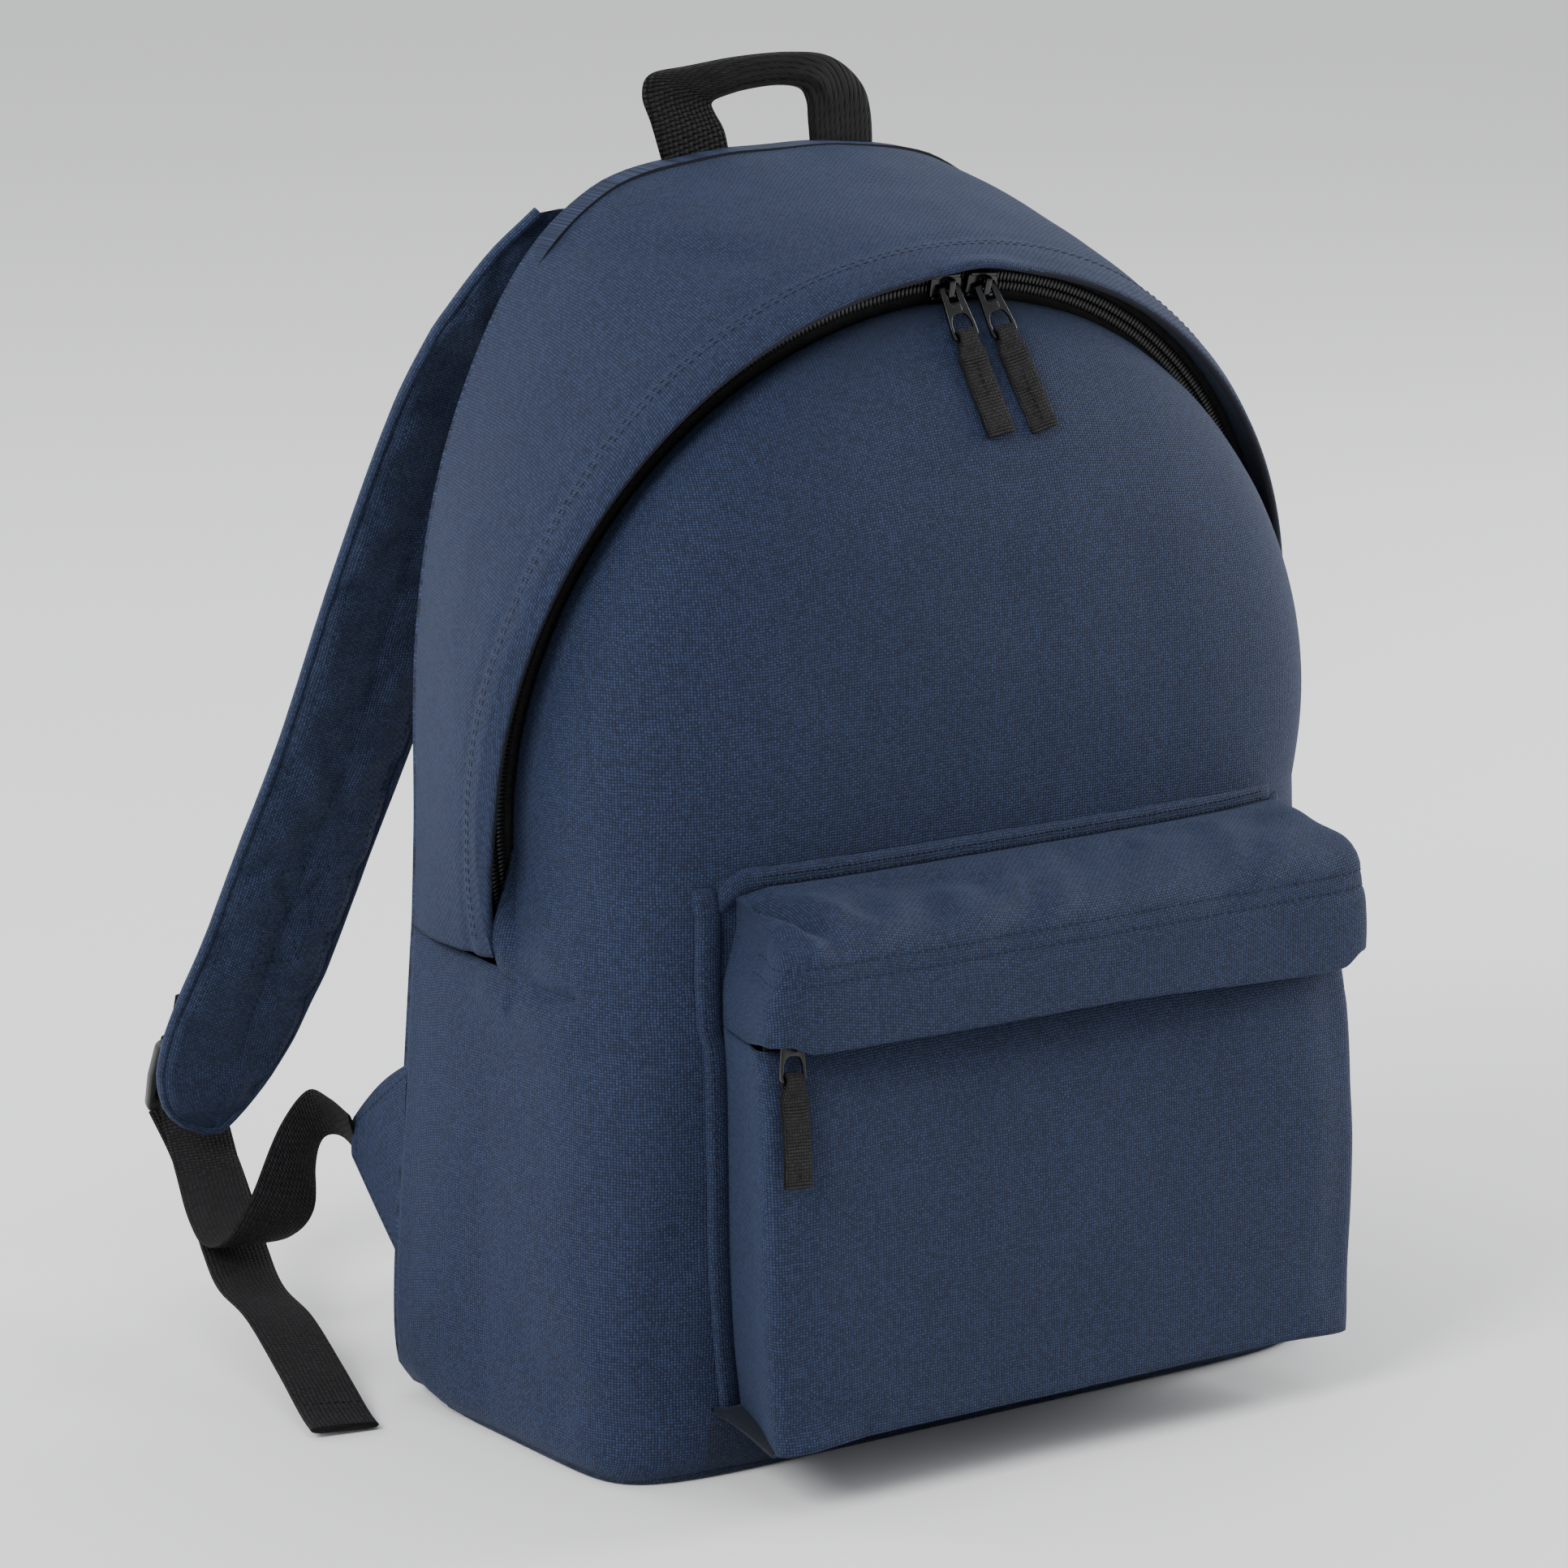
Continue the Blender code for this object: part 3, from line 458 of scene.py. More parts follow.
def grids_mesh(name, grids, inside):
    """One mesh of several grids of (points, uv), each facing away from the inside point."""
    points, faces, uvs = [], [], []
    for grid, uv in grids:
        rows, columns = grid.shape[:2]
        index = len(points) + np.arange(rows * columns).reshape(rows, columns)
        quads = np.stack(
            [index[:-1, :-1], index[:-1, 1:], index[1:, 1:], index[1:, :-1]], axis=-1
        ).reshape(-1, 4)
        raw = np.cross(np.gradient(grid, axis=1), np.gradient(grid, axis=0))
        if np.sum(raw * (grid - np.asarray(inside))) < 0:
            quads = quads[:, ::-1]
        start = len(points)
        points.extend(map(tuple, grid.reshape(-1, 3)))
        faces.extend(map(tuple, quads))
        flat = uv.reshape(-1, 2)
        uvs.extend(flat[i - start] for quad in quads for i in quad)
    mesh = new_mesh(name, points, faces)
    weave_map(mesh, uvs)
    tidy_mesh(mesh)
    return mesh


def cloth_piece(name, grids, inside, thickness, materials):
    """A closed cloth wall: its outer face from the grids, its inner face in the next material."""
    made = link(name, grids_mesh(name, grids, inside), materials)
    shell = made.modifiers.new("thickness", "SOLIDIFY")
    shell.thickness = thickness
    shell.offset = -1.0
    shell.material_offset = 1
    shell.use_quality_normals = True
    bake(made)
    return made


def bake(made):
    """Applies the modifiers."""
    graph = bpy.context.evaluated_depsgraph_get()
    graph.update()
    mesh = bpy.data.meshes.new_from_object(made.evaluated_get(graph))
    old = made.data
    made.modifiers.clear()
    made.data = mesh
    mesh.name = old.name + "_baked"
    bpy.data.meshes.remove(old)
    return made


def tube_mesh(name, sections):
    """A closed skin over rings of points, with its ends filled."""
    sections = np.asarray(sections, float)
    count, around = sections.shape[:2]
    wrapped = np.concatenate([sections, sections[:, :1]], axis=1)
    uv = metric_uv(wrapped)
    index = np.arange(count * around).reshape(count, around)
    index = np.concatenate([index, index[:, :1]], axis=1)
    faces, uvs = [], []
    for i in range(count - 1):
        for j in range(around):
            faces.append((index[i, j], index[i, j + 1], index[i + 1, j + 1], index[i + 1, j]))
            uvs += [uv[i, j], uv[i, j + 1], uv[i + 1, j + 1], uv[i + 1, j]]
    for ring, order in ((0, -1), (count - 1, 1)):
        faces.append(tuple(index[ring, :around][::order]))
        uvs += list(uv[ring, :around][::order])
    mesh = new_mesh(name, [tuple(p) for p in sections.reshape(-1, 3)], faces)
    weave_map(mesh, uvs)
    faced_out(mesh)
    mesh.set_sharp_from_angle(angle=math.radians(60))
    return mesh


def strip_section(half_width, half_thick, steps=9):
    """The rounded cross section of a flat strip, as (across, out) pairs."""
    shares = np.linspace(-1, 1, steps)
    bend = np.sign(shares) * (1 - (1 - np.abs(shares)) ** 1.6)
    top = [(half_width * s, half_thick * (1 - abs(s) ** 6) ** 0.5) for s in bend]
    return np.array(top[:-1] + [(x, -y) for x, y in top[:0:-1]])


def ribbon(name, line, across, half_width, half_thick, materials, steps=9):
    """A flat strip along a line: across gives its width's direction at each point."""
    across = unit(across)
    out = unit(np.cross(np.gradient(line, axis=0), across))
    widths = np.broadcast_to(half_width, len(line))
    thicks = np.broadcast_to(half_thick, len(line))
    sections = []
    for point, side, up, wide, thick in zip(line, across, out, widths, thicks):
        section = strip_section(wide, thick, steps)
        sections.append(point + section[:, :1] * side + section[:, 1:] * up)
    return link(name, tube_mesh(name, sections), materials)


def plate(name, loops, thickness, matrix, bevel, materials):
    """A flat plate with holes and rounded edges, drawn in the XY plane of matrix."""
    curve = bpy.data.curves.new(name, "CURVE")
    curve.dimensions = "2D"
    curve.fill_mode = "BOTH"
    curve.extrude = thickness / 2 - bevel
    curve.bevel_depth = bevel
    curve.bevel_resolution = 3
    curve.offset = -bevel
    for loop in loops:
        spline = curve.splines.new("POLY")
        spline.points.add(len(loop) - 1)
        spline.use_cyclic_u = True
        for point, (x, y) in zip(spline.points, loop):
            point.co = (x, y, 0.0, 1.0)
    drawn = bpy.data.objects.new(name, curve)
    bpy.context.scene.collection.objects.link(drawn)
    graph = bpy.context.evaluated_depsgraph_get()
    graph.update()
    mesh = bpy.data.meshes.new_from_object(drawn.evaluated_get(graph))
    bpy.data.objects.remove(drawn)
    mesh.transform(matrix)
    mesh.materials.clear()
    tidy_mesh(mesh, 1e-6, 35)
    return link(name, mesh, materials)


def rounded_loop(corners, radii, steps=5):
    """A closed loop with an arc at each corner."""
    loop = []
    count = len(corners)
    for i, corner in enumerate(corners):
        here = np.array(corner, float)
        before = np.array(corners[i - 1], float) - here
        after = np.array(corners[(i + 1) % count], float) - here
        radius = radii[i] if hasattr(radii, "__len__") else radii
        a, b = unit(before), unit(after)
        half_angle = math.acos(float(np.clip(a @ b, -1, 1))) / 2
        reach = min(radius / math.tan(half_angle), 0.48 * np.linalg.norm(before),
                    0.48 * np.linalg.norm(after))
        start, end = here + a * reach, here + b * reach
        for t in np.linspace(0, 1, steps):
            loop.append(tuple((1 - t) ** 2 * start + 2 * t * (1 - t) * here + t * t * end))
    return loop


def rectangle(x_low, x_high, y_low, y_high):
    return [(x_high, y_high), (x_low, y_high), (x_low, y_low), (x_high, y_low)]


def axes_matrix(origin, x_axis, y_axis):
    x_axis = Vector(x_axis).normalized()
    y_axis = (Vector(y_axis) - x_axis * x_axis.dot(Vector(y_axis))).normalized()
    made = Matrix((x_axis, y_axis, x_axis.cross(y_axis))).transposed().to_4x4()
    made.translation = Vector(origin)
    return made


def apply_matrix(matrix, points):
    matrix = np.array(matrix)
    return np.asarray(points, float) @ matrix[:3, :3].T + matrix[:3, 3]


def joined(name, parts):
    """One object with the meshes of several."""
    shape = bmesh.new()
    keep = parts[0]
    for part in parts:
        shape.from_mesh(part.data)
    mesh = keep.data.copy()
    shape.to_mesh(mesh)
    shape.free()
    made = bpy.data.objects.new(name, mesh)
    bpy.context.scene.collection.objects.link(made)
    for part in parts:
        bpy.data.objects.remove(part)
    mesh.shade_smooth()
    mesh.set_sharp_from_angle(angle=math.radians(40))
    return made


# ---- stitches -----------------------------------------------------------------------------
STITCH = 0.0026
STITCH_GAP = 0.0010


def surface_tree(piece):
    points = [v.co.copy() for v in piece.data.vertices]
    faces = [list(face.vertices) for face in piece.data.polygons]
    return BVHTree.FromPolygons(points, faces)


def onto(tree, path, towards=None):
    """The nearest surface points and normals; towards picks the side that normals face."""
    spots, normals = [], []
    for point in path:
        spot, normal, _, _ = tree.find_nearest(Vector(point))
        if towards is not None and normal.dot(Vector(towards)) < 0:
            normal = -normal
        spots.append(spot)
        normals.append(normal)
    return np.array(spots), np.array(normals)


def stitched(name, runs, body, material="thread", length=STITCH, gap=STITCH_GAP, wide=0.00055):
    """Rows of stitches: each run is (points, normals) on a surface."""
    ring = [(math.cos(a), math.sin(a)) for a in np.linspace(0, 2 * math.pi, 6, endpoint=False)]
    template = [(-0.5, 0, -0.5)]
    for x, size in ((-0.34, 0.75), (0.0, 1.0), (0.34, 0.75)):
        template += [(x, 0.5 * size * a, 0.42 * size * b - 0.35 * abs(x)) for a, b in ring]
    template.append((0.5, 0, -0.5))
    template = np.array(template)
    quads = [(0, 1 + (k + 1) % 6, 1 + k) for k in range(6)]
    for band in range(2):
        low, high = 1 + 6 * band, 7 + 6 * band
        quads += [(low + k, low + (k + 1) % 6, high + (k + 1) % 6, high + k) for k in range(6)]
    quads += [(13 + k, 13 + (k + 1) % 6, 19) for k in range(6)]
    points, faces = [], []
    for path, normals in runs:
        both = evenly(np.hstack([path, normals]), max(3, 2 * len(path)))
        steps = np.linalg.norm(np.diff(both[:, :3], axis=0), axis=1)
        along = np.append(0, np.cumsum(steps))
        spots = np.arange(length / 2, along[-1], length + gap)
        track = np.stack([np.interp(spots, along, both[:, k]) for k in range(6)], axis=1)
        ahead = np.stack([np.interp(spots + 0.0005, along, both[:, k]) for k in range(3)], axis=1)
        behind = np.stack([np.interp(spots - 0.0005, along, both[:, k]) for k in range(3)], axis=1)
        for row, tangent in zip(track, unit(ahead - behind)):
            up = unit(row[3:])
            side = unit(np.cross(up, tangent))
            start = len(points)
            local = template * (length, wide, wide)
            points += [
                tuple(row[:3] + x * tangent + y * side + (z + 0.0001) * up) for x, y, z in local
            ]
            faces += [tuple(start + i for i in face) for face in quads]
    mesh = new_mesh(name, points, faces)
    weave_by_point(mesh, np.array([(v.co.x + v.co.y, v.co.z) for v in mesh.vertices]))
    faced_out(mesh)
    made = link(name, mesh, [material])
    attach(made, body)


# ---- cloth simulation ---------------------------------------------------------------------
def inflated(made, pinned, cap, pressure=4.0, grow=0.03, frames=20):
    """Lets pinned cloth swell with gravity off, and keeps each point within cap of its start."""
    start = np.array([v.co for v in made.data.vertices])
    group = made.vertex_groups.new(name="pinned")
    group.add([int(i) for i in np.nonzero(pinned)[0]], 1.0, "REPLACE")
    cloth = made.modifiers.new("cloth", "CLOTH")
    cloth.settings.vertex_group_mass = "pinned"
    cloth.settings.use_pressure = True
    cloth.settings.uniform_pressure_force = pressure
    cloth.settings.shrink_min = -grow
    cloth.settings.effector_weights.gravity = 0.0
    cloth.settings.quality = 6
    cloth.collision_settings.use_collision = False
    cloth.point_cache.frame_end = frames
    scene = bpy.context.scene
    for step in range(1, frames + 1):
        scene.frame_set(step)
    bake(made)
    end = np.array([v.co for v in made.data.vertices])
    move = end - start
    size = np.linalg.norm(move, axis=1, keepdims=True)
    move *= np.minimum(1.0, cap / np.maximum(size, 1e-9))
    made.data.vertices.foreach_set("co", (start + move).astype(np.float32).ravel())
    made.vertex_groups.clear()
    scene.frame_set(1)
    return made


def subdivided(made, levels=1):
    finer = made.modifiers.new("subdivision", "SUBSURF")
    finer.levels = levels
    finer.render_levels = levels
    return bake(made)


# ---- the bag's surfaces -------------------------------------------------------------------
FRONT_Z = (0.0, 0.03, 0.10, 0.20, 0.25, 0.30, 0.33, 0.36, 0.3797)
FRONT_Y = (-0.0680, -0.0712, -0.0725, -0.0740, -0.0752, -0.0725, -0.0650, -0.0505, -0.0400)
WALL_Z = (0.0, 0.03, SIDE_TOP, FOLD_Z)
WALL_HALF = (0.1515, 0.1535, 0.1495, 0.1468)
SQUARE_Z = (0.0, 0.05, 0.2, 0.30, 0.38)
SQUARE = (8.0, 6.0, 4.5, 3.0, 2.3)
WALL_TURN = math.radians(80)


def corner_curve(half, depth, power, turn):
    """Points on a rounded half box, from -90 degrees on the left to 90 on the right."""
    sine, cosine = np.sin(turn), np.cos(turn)
    reach = (np.abs(sine) ** power + np.abs(cosine) ** power) ** (-1 / power)
    return half * reach * sine, depth * reach * cosine


def zip_point(turn, radius, out=0.0):
    """Points on a circle about the zip's axis, for an array of turns."""
    turn = np.asarray(turn, float)[..., None]
    flat = np.array((1.0, 0.0, 0.0)) * np.sin(turn) + UP_ZIP * np.cos(turn)
    radius, out = np.asarray(radius, float), np.asarray(out, float)
    return ZIP_CENTRE + radius[..., None] * flat + out[..., None] * OUT_OF_ZIP


def on_front(x, z):
    """The wall's y at a given x and z below the fold."""
    power = eased(z, SQUARE_Z, SQUARE)
    rise = (1 - np.minimum(np.abs(x / eased(z, WALL_Z, WALL_HALF)), 1) ** power) ** (1 / power)
    return SIDE_CENTRE_Y - (SIDE_CENTRE_Y - eased(z, FRONT_Z, FRONT_Y)) * rise


ARCH = (
    (0.1444, 0.1654),
    (0.1431, 0.2000),
    (0.1412, 0.2680),
    (0.1290, 0.3280),
    (0.1020, 0.3830),
    (0.0690, 0.4115),
    (0.0300, 0.4195),
)


def arch_outline(count):
    """The back outline from the cross seam on the left, over the top, to the right."""
    left = [(-x, 0.0, z) for x, z in ARCH]
    right = [(x, 0.0, z) for x, z in ARCH[::-1]]
    return smooth_path([*left, (0.0, 0.0, BAG_HEIGHT), *right], count)[:, [0, 2]]


# ---- front cloth --------------------------------------------------------------------------
def panel_rim(turn):
    """The panel's sewn edge: 2.5 mm of tape shows beside it at the top, and 1.5 mm lower down."""
    wide = float(smooth_step((turn - math.radians(20)) / math.radians(35)))
    return zip_point(turn, PANEL_RADIUS + 0.0010 * wide, 0.0015)


def rounded_foot(points):
    """Draws the cloth in round the bag's lower back corners."""
    x, y, z = points[..., 0], points[..., 1], points[..., 2]
    radius = np.maximum(0.016 * smooth_step((y - 0.030) / 0.035), 1e-6)
    below = np.clip(radius - z, 0, radius)
    x = x - np.sign(x) * (radius - np.sqrt(radius**2 - below**2))
    return np.stack([x, y, z], axis=-1)


def zip_end_flap(edge, sign):
    """The cloth that runs from the panel's edge under the hood, and narrows up the zip."""
    z = edge[:, 2]
    cosine = (z - ZIP_CENTRE[2] + 0.0008) / (0.9755 * 0.1650)
    target = zip_point(sign * np.arccos(np.clip(cosine, -1, 1)), np.full(len(z), 0.1652),
                       np.full(len(z), 0.0032))
    reach = smooth_step((0.2065 - z) / 0.038)[:, None, None]
    shares = np.linspace(0, 1, 8)[None, :, None]
    grid = edge[:, None] + reach * shares * (target - edge)[:, None]
    grid[..., 0] += sign * 0.0012 * np.sin(math.pi * shares[..., 0]) * reach[..., 0]
    return grid


def front_grid(columns=131):
    """The continuous cloth of the front: lower wall, fold and domed panel."""
    shares = np.linspace(-1, 1, columns)
    first_turn = math.radians(102.1)
    rows = []
    fold_rim = panel_rim(first_turn)
    low = np.linspace(BOTTOM, SIDE_TOP, 64)
    high = np.linspace(SIDE_TOP, fold_rim[2], 16)[1:-1]
    for z in (*low, *high):
        share = float(smooth_step((z - SIDE_TOP) / (fold_rim[2] - SIDE_TOP)))
        half = (1 - share) * eased(z, WALL_Z, WALL_HALF) + share * fold_rim[0]
        centre = (1 - share) * SIDE_CENTRE_Y + share * fold_rim[1]
        turn = ((1 - share) * WALL_TURN + share * math.pi / 2) * shares
        rows.append((half, centre, z, turn))
    for angle in np.linspace(first_turn, math.radians(3.0), 86):
        half, centre, z = panel_rim(angle)
        rows.append((half, centre, z, math.pi / 2 * shares))
    grid = []
    for half, centre, z, turn in rows:
        depth = centre - eased(z, FRONT_Z, FRONT_Y)
        x, forward = corner_curve(half, depth, eased(z, SQUARE_Z, SQUARE), turn)
        grid.append(np.stack([x, centre - forward, np.full_like(x, z)], axis=1))
    return np.array(grid), len(low)


def side_grid(levels, sign):
    """A side wall from the front cloth's edge to the back seam."""
    rows = []
    for z in levels:
        half, power = eased(z, WALL_Z, WALL_HALF), eased(z, SQUARE_Z, SQUARE)
        depth = SIDE_CENTRE_Y - eased(z, FRONT_Z, FRONT_Y)
        turns = np.linspace(WALL_TURN, math.pi / 2, 7)
        x, forward = corner_curve(half, depth, power, turns)
        corner = np.stack([x, SIDE_CENTRE_Y - forward, np.full_like(x, z)], axis=1)
        seam = np.array((float(eased(z, *SIDE_SEAM)), SEAM_Y, z))
        share = np.linspace(0, 1, 22)[1:, None]
        flat = corner[-1] + share * (seam - corner[-1])
        flat[:, 0] += 0.003 * np.sin(math.pi * share[:, 0]) * math.sin(math.pi * z / SIDE_TOP) ** 0.5
        rows.append(np.vstack([corner, flat]) * (sign, 1, 1))
    return np.array(rows)


def wall_relief(points):
    """How far the cloth stands out from its smooth shape: stuffing, folds and dimples."""
    out = 0.0016 * unevenness(points, 0.085, 1) + 0.0005 * unevenness(points, 0.03, 2)
    for sign in (-1, 1):
        dart = [
            (sign * 0.1478, 0.0120, 0.1665),
            (sign * 0.1486, -0.0060, 0.1632),
            (sign * 0.1478, -0.0210, 0.1612),
            (sign * 0.1460, -0.0330, 0.1622),
        ]
        out -= fold_along(points, dart, 0.0048, 0.0030)
        below = [(x, y, z - 0.0100) for x, y, z in dart]
        out += fold_along(points, below, 0.0030, 0.0075)
        above = [(x, y - 0.004, z + 0.0110) for x, y, z in dart[2:]]
        out += fold_along(points, above, 0.0016, 0.0080)
        hollow = [
            (sign * 0.128, -0.067, 0.085),
            (sign * 0.134, -0.064, 0.055),
            (sign * 0.130, -0.067, 0.030),
        ]
        out -= fold_along(points, hollow, 0.0016, 0.010)
        dimple = [(sign * 0.149, -0.035, 0.030), (sign * 0.142, -0.055, 0.022)]
        out -= fold_along(points, dimple, 0.0022, 0.010)
        crease = [(sign * 0.150, -0.010, 0.040), (sign * 0.149, -0.030, 0.018)]
        out -= fold_along(points, crease, 0.0014, 0.008)
    return out


def paint_shadow_under_pocket(made):
    """Painted shadow: the strip of wall under the pocket gets the darker base cloth, standing in for
    the shadow that the pocket casts there.
    """
    made.data.materials.append(MATERIALS["base_and_shade_cloth"])
    for face in made.data.polygons:
        x, y, z = face.center
        # painted shadow: faces below the pocket's lower edge, across its width
        if face.material_index == 0 and z < POCKET_BOTTOM - 0.001 and abs(x) < 0.116 and y < -0.05:
            face.material_index = 2


def build_front_cloth():
    """The front and the lower walls in one piece, with a flap of cloth at each end of the zip."""
    points, low_count = front_grid()
    levels = points[:low_count, 0, 2]
    left = side_grid(levels, -1)[:, ::-1]
    right = side_grid(levels, 1)
    whole = np.concatenate([left[:, :-1], points[:low_count], right[:, 1:]], axis=1)
    normals = grid_normals(whole, MIDDLE)
    hem = np.clip(1 - (whole[..., 2] - BOTTOM) / 0.009, 0, 1) ** 2
    relief = wall_relief(whole)
    top_fade = smooth_step((SIDE_TOP + 0.001 - whole[..., 2]) / 0.012)
    seam_fade = smooth_step((SEAM_Y - whole[..., 1]) / 0.012)
    side = left.shape[1] - 1
    keep = np.ones_like(relief)
    keep[:, :side] *= (top_fade * seam_fade)[:, :side]
    keep[:, -side:] *= (top_fade * seam_fade)[:, -side:]
    whole = whole + normals * (relief * keep - 0.0035 * hem)[..., None]

    up_normals = grid_normals(points, MIDDLE)
    rim = edge_fade(points.shape[1], 10.0)[None, :]
    ends = smooth_step((len(points) - 1 - np.arange(len(points))) / 6.0)[:, None]
    upper = points + up_normals * (wall_relief(points) * rim * ends)[..., None]
    share = smooth_step((np.arange(len(points)) - (low_count - 9)) / 8.0)[:, None, None]
    mixed = upper.copy()
    middle = whole[:, side:-side]
    mixed[:low_count] = (1 - share[:low_count]) * middle + share[:low_count] * upper[:low_count]
    whole[:, side:-side] = mixed[:low_count]

    whole = rounded_foot(whole)
    uv = metric_uv(mixed)
    uv_left = metric_uv(whole[:, : side + 1])
    uv_right = metric_uv(whole[:, -side - 1 :])
    uv_left[..., 0] += uv[:low_count, :1, 0] - uv_left[:, -1:, 0]
    uv_right[..., 0] += uv[:low_count, -1:, 0] - uv_right[:, :1, 0]
    grids = [
        (mixed, uv),
        (whole[:, : side + 1], uv_left),
        (whole[:, -side - 1 :], uv_right),
    ]
    flap_rows = slice(low_count - 2, int(np.argmax(mixed[:, 0, 2] > 0.2060)) + 1)
    for column, sign in ((0, -1), (-1, 1)):
        flap = zip_end_flap(mixed[flap_rows, column], sign)
        shift = uv[flap_rows, column][:, None] - metric_uv(flap)[:, :1]
        grids.append((flap, metric_uv(flap) * (sign, 1) + shift))
    made = cloth_piece("front_cloth", grids, MIDDLE, 0.0016, ["cloth", "lining"])
    paint_shadow_under_pocket(made)
    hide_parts("lower_wall", "front_panel")
    return made


# ---- gusset and hood ----------------------------------------------------------------------
def gusset_lines(columns):
    """The gusset's back edge, its hood edge and the way outwards, column by column."""
    seam = arch_outline(columns)
    turns = np.linspace(-HOOD_END, HOOD_END, columns)
    back = np.stack([seam[:, 0], np.full(columns, SEAM_Y), seam[:, 1]], axis=1)
    hood = zip_point(turns, np.full(columns, HOOD_RADIUS), np.full(columns, HOOD_OUT))
    away = np.stack(
        [seam[:, 0], 0 * seam[:, 0], np.maximum(seam[:, 1] - ZIP_CENTRE[2], 0)], axis=1
    )
    return turns, back, hood, unit(away)


def hood_lip(turns):
    """The hood's free edge, which the parked sliders lift a little."""
    lifted = np.exp(-(((np.degrees(turns) - 2.0) / 6.0) ** 2))
    closing = smooth_step((np.abs(np.degrees(turns)) - 92.0) / 22.0)
    radius = 0.1638 + 0.0030 * lifted + 0.0018 * closing
    return zip_point(turns, radius, 0.0092 + 0.0012 * lifted - 0.0052 * closing)


def paint_hood_facing_shade(made):
    """Painted shade: gives the hood's underside, which is navy cloth like the hood, the near-black
    lining material, as it lies in the hood's shadow.
    """
    for face in made.data.polygons:
        away = np.array(face.center) - ZIP_CENTRE
        out = float(away @ OUT_OF_ZIP)
        radius = float(np.linalg.norm(away - out * OUT_OF_ZIP))
        # painted shade: the facing rows under the hood's rolled lip
        if radius < HOOD_RADIUS - 0.0032 and out > -0.002 and face.material_index == 0:
            face.material_index = 1


def build_gusset():
    """The strip of cloth over the bag, its hood rolled back under itself over the zip."""
    columns = 281
    turns, back, hood, away = gusset_lines(columns)
    shares = np.linspace(0, 1, 34)
    grid = []
    for share in shares:
        swell = 0.004 * math.sin(math.pi * share)
        grid.append(back + share * (hood - back) + swell * away)
    grid = np.array(grid)
    normals = grid_normals(grid, MIDDLE)
    edge_fade = np.sin(math.pi * np.clip(shares, 0, 1))[:, None] ** 0.5
    relief = 0.0014 * unevenness(grid, 0.07, 5) + 0.0006 * unevenness(grid, 0.022, 6)
    depth = np.linalg.norm(hood - back, axis=1)
    to_edge = (1 - shares)[:, None] * depth[None, :]
    seam_valley = 0.0007 * np.exp(-(((to_edge - 0.0125) / 0.0022) ** 2))
    hem_puff = 0.0006 * np.exp(-(((to_edge - 0.006) / 0.0035) ** 2))
    left_fold = [(-0.062, -0.010, 0.398), (-0.080, 0.022, 0.398), (-0.090, 0.060, 0.394)]
    relief -= fold_along(grid, left_fold, 0.0015, 0.007)
    grid = grid + normals * (relief * edge_fade - seam_valley + hem_puff)[..., None]
    inner_edge = back - 0.0016 * away + (0, 0.0016, 0)
    rolled_in = [inner_edge, back - 0.0005 * away + (0, 0.0012, 0)]
    lip = hood_lip(turns)
    brim = [grid[-1] + share * (lip - grid[-1]) for share in np.linspace(0, 1, 6)[1:]]
    ahead = unit(lip - grid[-1])
    out = unit(normals[-1] - np.sum(normals[-1] * ahead, axis=1)[:, None] * ahead)
    roll = rolled_edge(lip, out, ahead, HOOD_ROLL, 11)
    end = zip_point(turns, np.full(columns, 0.1612), np.full(columns, -0.0010))
    facing = [roll[-1] + share * (end - roll[-1]) for share in np.linspace(0, 1, 8)[1:]]
    whole = np.concatenate([rolled_in, grid, brim, roll, facing])
    whole = rounded_foot(whole)
    made = cloth_piece(
        "gusset_cloth", [(whole, metric_uv(whole))], MIDDLE, 0.0008, ["cloth", "lining"]
    )
    paint_hood_facing_shade(made)
    stand_in(made, "bag", "top_gusset")
    tree = surface_tree(made)
    runs = []
    for behind in (0.0062, 0.0090):
        line = hood + (back - hood) * (behind / depth)[:, None] + 0.002 * away
        spots, found = onto(tree, line[3:-3])
        runs.append((spots, outward(spots, found)))
    stitched("gusset_stitching", runs, "bag")


def outward(spots, normals, inside=MIDDLE):
    """The normals, turned to face away from the inside point."""
    facing = np.sum(normals * (spots - np.asarray(inside)), axis=1)
    return np.where(facing[:, None] < 0, -normals, normals)


# ---- main zip -----------------------------------------------------------------------------
def zip_band(name, inner, outer, out, thickness, span, material):
    turns = np.linspace(*span, 181)
    section = strip_section((outer - inner) / 2, thickness / 2, 5)
    middle = (inner + outer) / 2
    sections = [
        [zip_point(turn, middle + across, out + up) for across, up in section] for turn in turns
    ]
    return link(name, tube_mesh(name, sections), [material])


